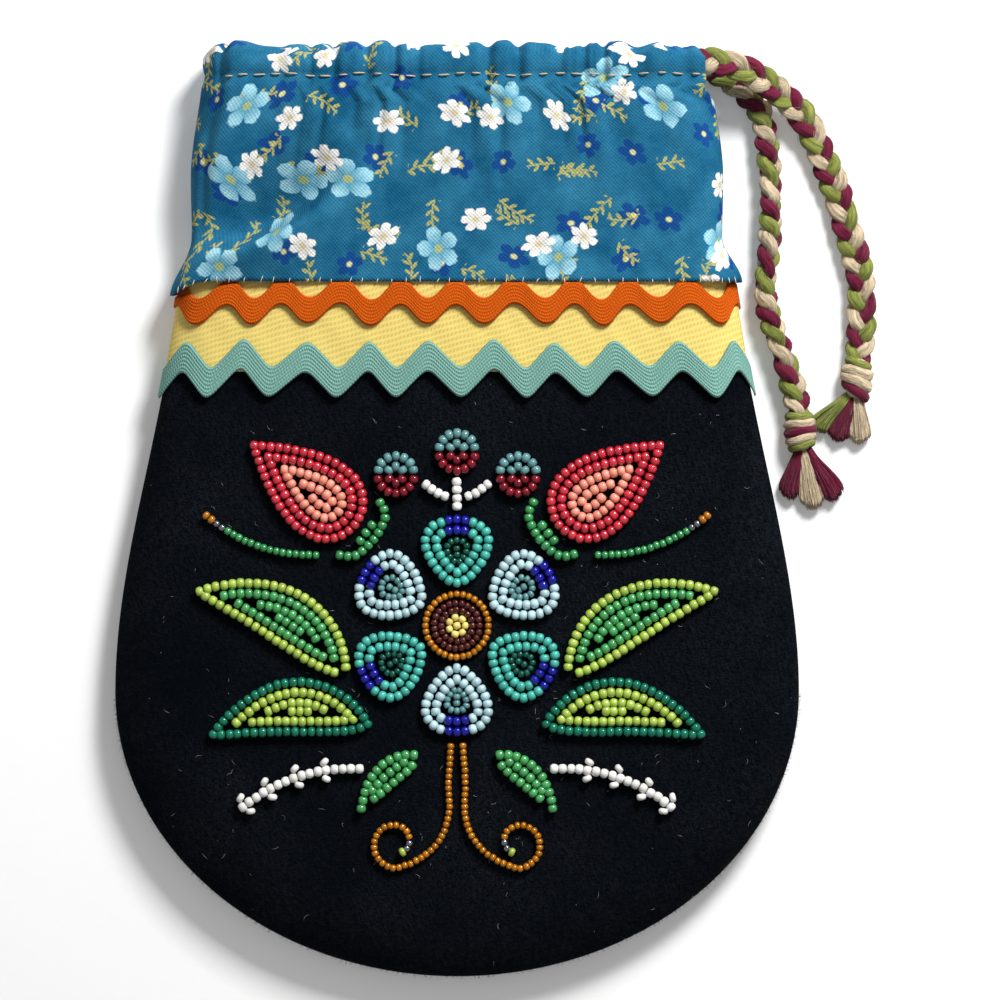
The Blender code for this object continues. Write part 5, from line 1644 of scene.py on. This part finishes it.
def make_printed_cotton():
    """Printed cotton: a mottled blue ground, blossoms of three kinds and leafy sprigs, woven through, with
    painted shade between the threads.
    """
    tree, shader = new_material("cotton_cloth")
    at = cloth_place(tree)
    weave = use(tree, "Weave", Cloth=at, Thread=0.42)
    cloud = noise(tree, at, 0.09, 5.0, Roughness=0.6)
    red, green, blue = colours().cotton
    tinted = blended(tree, ramp(tree, cloud, 0.35, 0.68), (red * 0.6, green * 0.72, blue * 0.8),
                     (red * 2.4 + 0.01, green * 1.45, blue * 1.3))
    deep = (0.004, 0.045, 0.23)
    tinted = printed(tree, tinted, at, 0.82, (deep, deep), (0.62, 0.62, 0.28), Cell=12.5, Size=3.5,
                     Share=0.8, Shift=(3.3, 7.1, 0.0))
    leaves = use(tree, "Printed sprig", Cloth=at, Cell=10.5, Size=3.1, Share=0.6, Shift=(1.7, 2.9, 0.0))
    more = use(tree, "Printed sprig", Cloth=at, Cell=14.0, Size=4.4, Share=0.58, Shift=(9.2, 4.4, 0.0))
    spray = calc(tree, "MAXIMUM", leaves["Leaves"], more["Leaves"])
    # The sprigs' olive follows the weave's tone: the yarn's slubs, with painted shade and painted light on
    # the threads.
    olive = blended(tree, weave["Tone"], (0.30, 0.32, 0.075), (0.58, 0.52, 0.16))
    tinted = blended(tree, calc(tree, "MULTIPLY", spray, 0.86), tinted, olive)
    tinted = printed(tree, tinted, at, 0.9, ((0.07, 0.30, 0.44), (0.36, 0.66, 0.76)), (0.34, 0.42, 0.20),
                     Cell=17.0, Size=5.7, Share=0.66, Shift=(8.4, 6.9, 0.0))
    tinted = printed(tree, tinted, at, 1.0, ((0.62, 0.60, 0.56), (0.92, 0.90, 0.85)), (0.60, 0.52, 0.30),
                     Cell=13.5, Size=3.5, Share=0.72, Petals=6.0, Shift=(0.3, 5.6, 0.0))
    # Painted shade between the threads and painted light where they cross, laid over the whole print by
    # the weave's tone.
    thread_shade = grey(tree, ramp(tree, weave["Tone"], 0.2, 0.65, 0.7, 1.11))
    finish_cloth(tree, shader, blended(tree, 1.0, tinted, thread_shade, "MULTIPLY"), 0.9, 0.1,
                 Normal=bumped(tree, weave["Height"], 0.07))


def make_ribbed(name, colour, kind, depth, dark, light, **values):
    """A woven trim: its colour carries painted shade in the grooves that its group gives and painted light
    on the ribs.
    """
    tree, shader = new_material(name)
    at = cloth_place(tree)
    woven = use(tree, kind, Cloth=at, **values)
    worn = noise(tree, at, 0.12, 3.0)
    tone = calc(tree, "MULTIPLY_ADD", worn, 0.3, calc(tree, "SUBTRACT", woven["Tone"], 0.15))
    # dark and light set the painted shade in the grooves and the painted light on the ribs; worn adds a
    # slow uneven tone.
    finish_cloth(tree, shader, shaded(tree, ramp(tree, tone, 0.1, 0.8), colour, dark, light), 0.85, 0.1,
                 Normal=bumped(tree, woven["Height"], depth))


def make_yarn(name, colour):
    """Soft wool yarn: fibres drawn along the strand, streaked, with painted shade between them and painted
    light on the raised ones.
    """
    tree, shader = new_material(name)
    fibre = use(tree, "Fibres", Cloth=cloth_place(tree), Across=2.6, Along=0.4)
    # The fibres' tone gives painted shade between the fibres and painted light on top of them.
    finish_cloth(tree, shader, shaded(tree, fibre["Tone"], colour, 0.42, 1.3, 0.01), 0.95, 0.05,
                 sheen=0.12, Normal=bumped(tree, fibre["Height"], 0.5))


def make_thread(name, colour):
    """Plied sewing thread, with painted shade in the grooves between its plies."""
    tree, shader = new_material(name)
    ply = put(tree, "TexWave", {"Vector": solid_place(tree), "Scale": 1.6, "Distortion": 0.6},
              wave_type="BANDS", bands_direction="DIAGONAL").outputs[1]
    # The ply bands are painted shade in the grooves between the plies.
    finish_cloth(tree, shader, shaded(tree, ply, colour, 0.75, 1.0, 0.0), 0.6, 0.3)


def make_glass(name, colour):
    """A bead's glass: each bead's own tone, a deeper edge, slight clouding and a clear coat."""
    rough, edge, metal, coat = GLASS_KINDS.get(name, LUSTROUS)
    tree, shader = new_material(name + "_glass")
    tone = put(tree, "Attribute", attribute_name="tone", attribute_type="GEOMETRY").outputs["Fac"]
    cloud = noise(tree, solid_place(tree), 1.1, 2.0)
    mixed = calc(tree, "MULTIPLY_ADD", cloud, 0.5, calc(tree, "MULTIPLY", tone, 0.6))
    body = shaded(tree, ramp(tree, mixed, 0.2, 0.9), colour, 0.8, 1.14)
    facing = put(tree, "LayerWeight", {"Blend": 0.35}).outputs["Facing"]
    fill(tree, shader, {
        "Base Color": blended(tree, facing, body, [c * edge for c in colour]),
        "Roughness": ramp(tree, cloud, 0.3, 0.7, rough * 0.8, rough * 1.3),
        "Metallic": metal, "Specular IOR Level": 0.2, "Coat Weight": 0.75, "Coat Roughness": coat,
        "Coat IOR": LUSTRE_IOR if coat == LUSTRE else GLASS_IOR})


class BAG_OT_finishes(Operator):
    """Make the cloth, yarn, thread and glass finishes"""

    bl_idname = "bag.finishes"
    bl_label = "Finishes"

    def execute(self, context):
        """Build the shader groups, then each material from its colour."""
        make_weave_group()
        make_fibre_group()
        make_twill_group()
        make_braid_group()
        make_blossom_group()
        make_sprig_group()
        make_wool()
        make_fibre("wool_fibre", [c * 1.6 + 0.004 for c in colours().wool], 2.0)
        make_fibre("pale_lint", (0.30, 0.31, 0.31), 1.6)
        make_printed_cotton()
        # The two values after each relief depth scale the painted shade in the grooves and the painted
        # light on the ribs.
        make_ribbed("yellow_cloth", colours().band, "Twill", 0.07, 0.78, 1.1, Slope=-0.3,
                    Thread=0.8)
        make_ribbed("orange_ribbon", colours().orange, "Ribbed braid", 0.12, 0.55, 1.15,
                    Rib=ORANGE["ribbon"] / RIBS)
        make_ribbed("teal_ribbon", colours().teal, "Ribbed braid", 0.12, 0.5, 1.35,
                    Rib=TEAL["ribbon"] / RIBS)
        for name in YARNS:
            make_yarn(name + "_yarn", getattr(colours(), name + "_yarn"))
        make_thread("sewing_thread", colours().thread)
        for name in FINISH_ORDER:
            make_glass(name, getattr(colours(), name))
        return {"FINISHED"}


# Operators


def make_floor():
    """A wide pale floor that keeps the bag's shadow and is white where nothing shades it."""
    mesh = bpy.data.meshes.new("floor")
    far = 4.0
    mesh.from_pydata([(-far, -far, 0.0), (far, -far, 0.0), (far, far, 0.0), (-far, far, 0.0)], [],
                     [(0, 1, 2, 3)])
    floor = bpy.data.objects.new("floor", mesh)
    bpy.context.scene.collection.objects.link(floor)
    tree, shader = new_material("pale_floor")
    seen = put(tree, "LightPath").outputs
    direct = calc(tree, "MAXIMUM", seen["Is Camera Ray"], calc(
        tree, "MAXIMUM", seen["Is Glossy Ray"], seen["Is Transmission Ray"]))
    tone = ramp(tree, noise(tree, solid_place(tree), 0.4, 3.0), 0.0, 1.0, 0.90, 0.93)
    fill(tree, shader, {
        "Base Color": grey(tree, tone), "Roughness": 0.9, "Specular IOR Level": 0.1,
        "Emission Color": (1.0, 1.0, 1.0, 1.0), "Emission Strength": calc(tree, "MULTIPLY", direct, 0.14)})
    mesh.materials.append(material_named("pale_floor"))


def add_light(name, place_at, size, power):
    """An area lamp aimed at the bag's middle."""
    lamp = bpy.data.lights.new(name, "AREA")
    lamp.size = size
    lamp.energy = power
    holder = bpy.data.objects.new(name, lamp)
    holder.location = place_at
    aim = Vector((0.0, 0.0, 0.0)) - holder.location
    holder.rotation_euler = aim.to_track_quat("-Z", "Y").to_euler()
    bpy.context.scene.collection.objects.link(holder)


class BAG_OT_stage(Operator):
    """Set up the floor, the lamps, the world and the camera straight above"""

    bl_idname = "bag.stage"
    bl_label = "Stage"

    def execute(self, context):
        """One soft key lamp from the mouth's side and an even world, together at a plain level."""
        scene = context.scene
        make_floor()
        add_light("key_lamp", (0.28, 0.50, 0.46), 0.2, 7.3)
        world = bpy.data.worlds.new("studio")
        world.use_nodes = True
        fill(world.node_tree, world.node_tree.nodes["Background"],
             {"Color": (1.0, 1.0, 1.0, 1.0), "Strength": 0.31})
        scene.world = world
        camera = bpy.data.cameras.new("camera")
        camera.sensor_width = 36.0
        height = 1.2
        frame_width = 0.21
        bag_level = 0.009
        camera.lens = camera.sensor_width * (height - bag_level) / frame_width
        holder = bpy.data.objects.new("camera", camera)
        holder.location = (0.00903, 0.00231, height)
        scene.collection.objects.link(holder)
        scene.camera = holder
        scene.view_settings.view_transform = "Standard"
        return {"FINISHED"}


class BAG_OT_drawstring(Operator):
    """Plait the drawstring through the casing and lay its two tails, knots and tassels"""

    bl_idname = "bag.drawstring"
    bl_label = "Drawstring"

    def execute(self, context):
        """Each tail is a free cord from the casing's slit to its knot."""
        strands = [material_named(name + "_yarn") for name in YARNS]
        make_casing_stretch(strands)
        ends = {
            "outer": (OUTER_KNOT, OUTER_WRAPS, OUTER_LOBES, 10.6, 38),
            "inner": (INNER_KNOT, INNER_WRAPS, INNER_LOBES, 13.2, 39),
        }
        for side, (knot, wraps, lobes, reach, seed) in ends.items():
            tail, path = make_tail(side, strands)
            knotted = make_knot(side, knot, wraps, strands)
            tassel = make_tassel(side, knot, lobes, reach, seed, strands)
        return {"FINISHED"}


class BAG_OT_pouch(Operator):
    """Make the two wool panels and the short fibres and lint on the front"""

    bl_idname = "bag.pouch"
    bl_label = "Wool pouch"

    def execute(self, context):
        """The panels meet at the rim's seam."""
        for front in (True, False):
            make_panel(front, material_named("milled_wool"))
        make_nap([material_named("wool_fibre"), material_named("pale_lint")])
        return {"FINISHED"}


class BAG_OT_collar(Operator):
    """Make the gathered cotton collar with its running stitch and hem stitches"""

    bl_idname = "bag.collar"
    bl_label = "Cotton collar"

    def execute(self, context):
        """Front and back halves overlap the yellow band."""
        for front in (True, False):
            make_collar(front, material_named("cotton_cloth"))
            make_hem_stitches(front, material_named("sewing_thread"))
        make_running_stitch(material_named("cream_yarn"))
        return {"FINISHED"}


class BAG_OT_trims(Operator):
    """Make the yellow twill band and the two rickracks round the neck"""

    bl_idname = "bag.trims"
    bl_label = "Band and rickrack"

    def execute(self, context):
        """Every trim has a front and a back half."""
        for front in (True, False):
            make_band(front, material_named("yellow_cloth"))
            make_rickrack("orange", front, ORANGE, material_named("orange_ribbon"), "orange_braid")
            make_rickrack("teal", front, TEAL, material_named("teal_ribbon"), "teal_braid")
        return {"FINISHED"}


class BAG_OT_rosette(Operator):
    """Sew the six-petalled bead rosette"""

    bl_idname = "bag.rosette"
    bl_label = "Rosette"

    def execute(self, context):
        """Petals, drops, rings and centre."""
        sew_rosette()
        return {"FINISHED"}


class BAG_OT_buds(Operator):
    """Sew the two bead buds and the three berries"""

    bl_idname = "bag.buds"
    bl_label = "Buds and berries"

    def execute(self, context):
        """The berries stand on their white stem."""
        sew_buds()
        sew_berries()
        return {"FINISHED"}


class BAG_OT_leaves(Operator):
    """Sew the bead leaves, sprigs, curls and scrolls"""

    bl_idname = "bag.leaves"
    bl_label = "Leaves and sprays"

    def execute(self, context):
        """The same on both sides."""
        sew_leaves()
        sew_sprays()
        return {"FINISHED"}


OPERATORS = (
    BAG_OT_stage, BAG_OT_finishes, BAG_OT_drawstring, BAG_OT_pouch, BAG_OT_collar, BAG_OT_trims,
    BAG_OT_rosette, BAG_OT_buds, BAG_OT_leaves,
)


class BAG_PT_panel(Panel):
    """The bag's settings and the operators that make its pieces"""

    bl_idname = "BAG_PT_panel"
    bl_label = "Tobacco bag"
    bl_space_type = "VIEW_3D"
    bl_region_type = "UI"
    bl_category = "Tobacco bag"

    def draw(self, context):
        """List the operators, then the sizes and colours."""
        for operator in OPERATORS:
            self.layout.operator(operator.bl_idname)
        for group in (sizes(), colours()):
            for name in group.__annotations__:
                self.layout.prop(group, name)


CLASSES = (BagSizes, BagColours, *OPERATORS, BAG_PT_panel)


def register():
    """Add the settings, operators and panel to Blender."""
    for made in CLASSES:
        bpy.utils.register_class(made)
    bpy.types.Scene.bag_sizes = PointerProperty(type=BagSizes)
    bpy.types.Scene.bag_colours = PointerProperty(type=BagColours)


def unregister():
    """Take them out again."""
    del bpy.types.Scene.bag_colours
    del bpy.types.Scene.bag_sizes
    for made in reversed(CLASSES):
        bpy.utils.unregister_class(made)


def main():
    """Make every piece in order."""
    register()
    bpy.ops.bag.stage()
    bpy.ops.bag.finishes()
    bpy.ops.bag.drawstring()
    bpy.ops.bag.pouch()
    bpy.ops.bag.collar()
    bpy.ops.bag.trims()
    bpy.ops.bag.rosette()
    bpy.ops.bag.buds()
    bpy.ops.bag.leaves()


if __name__ == "__main__":
    main()
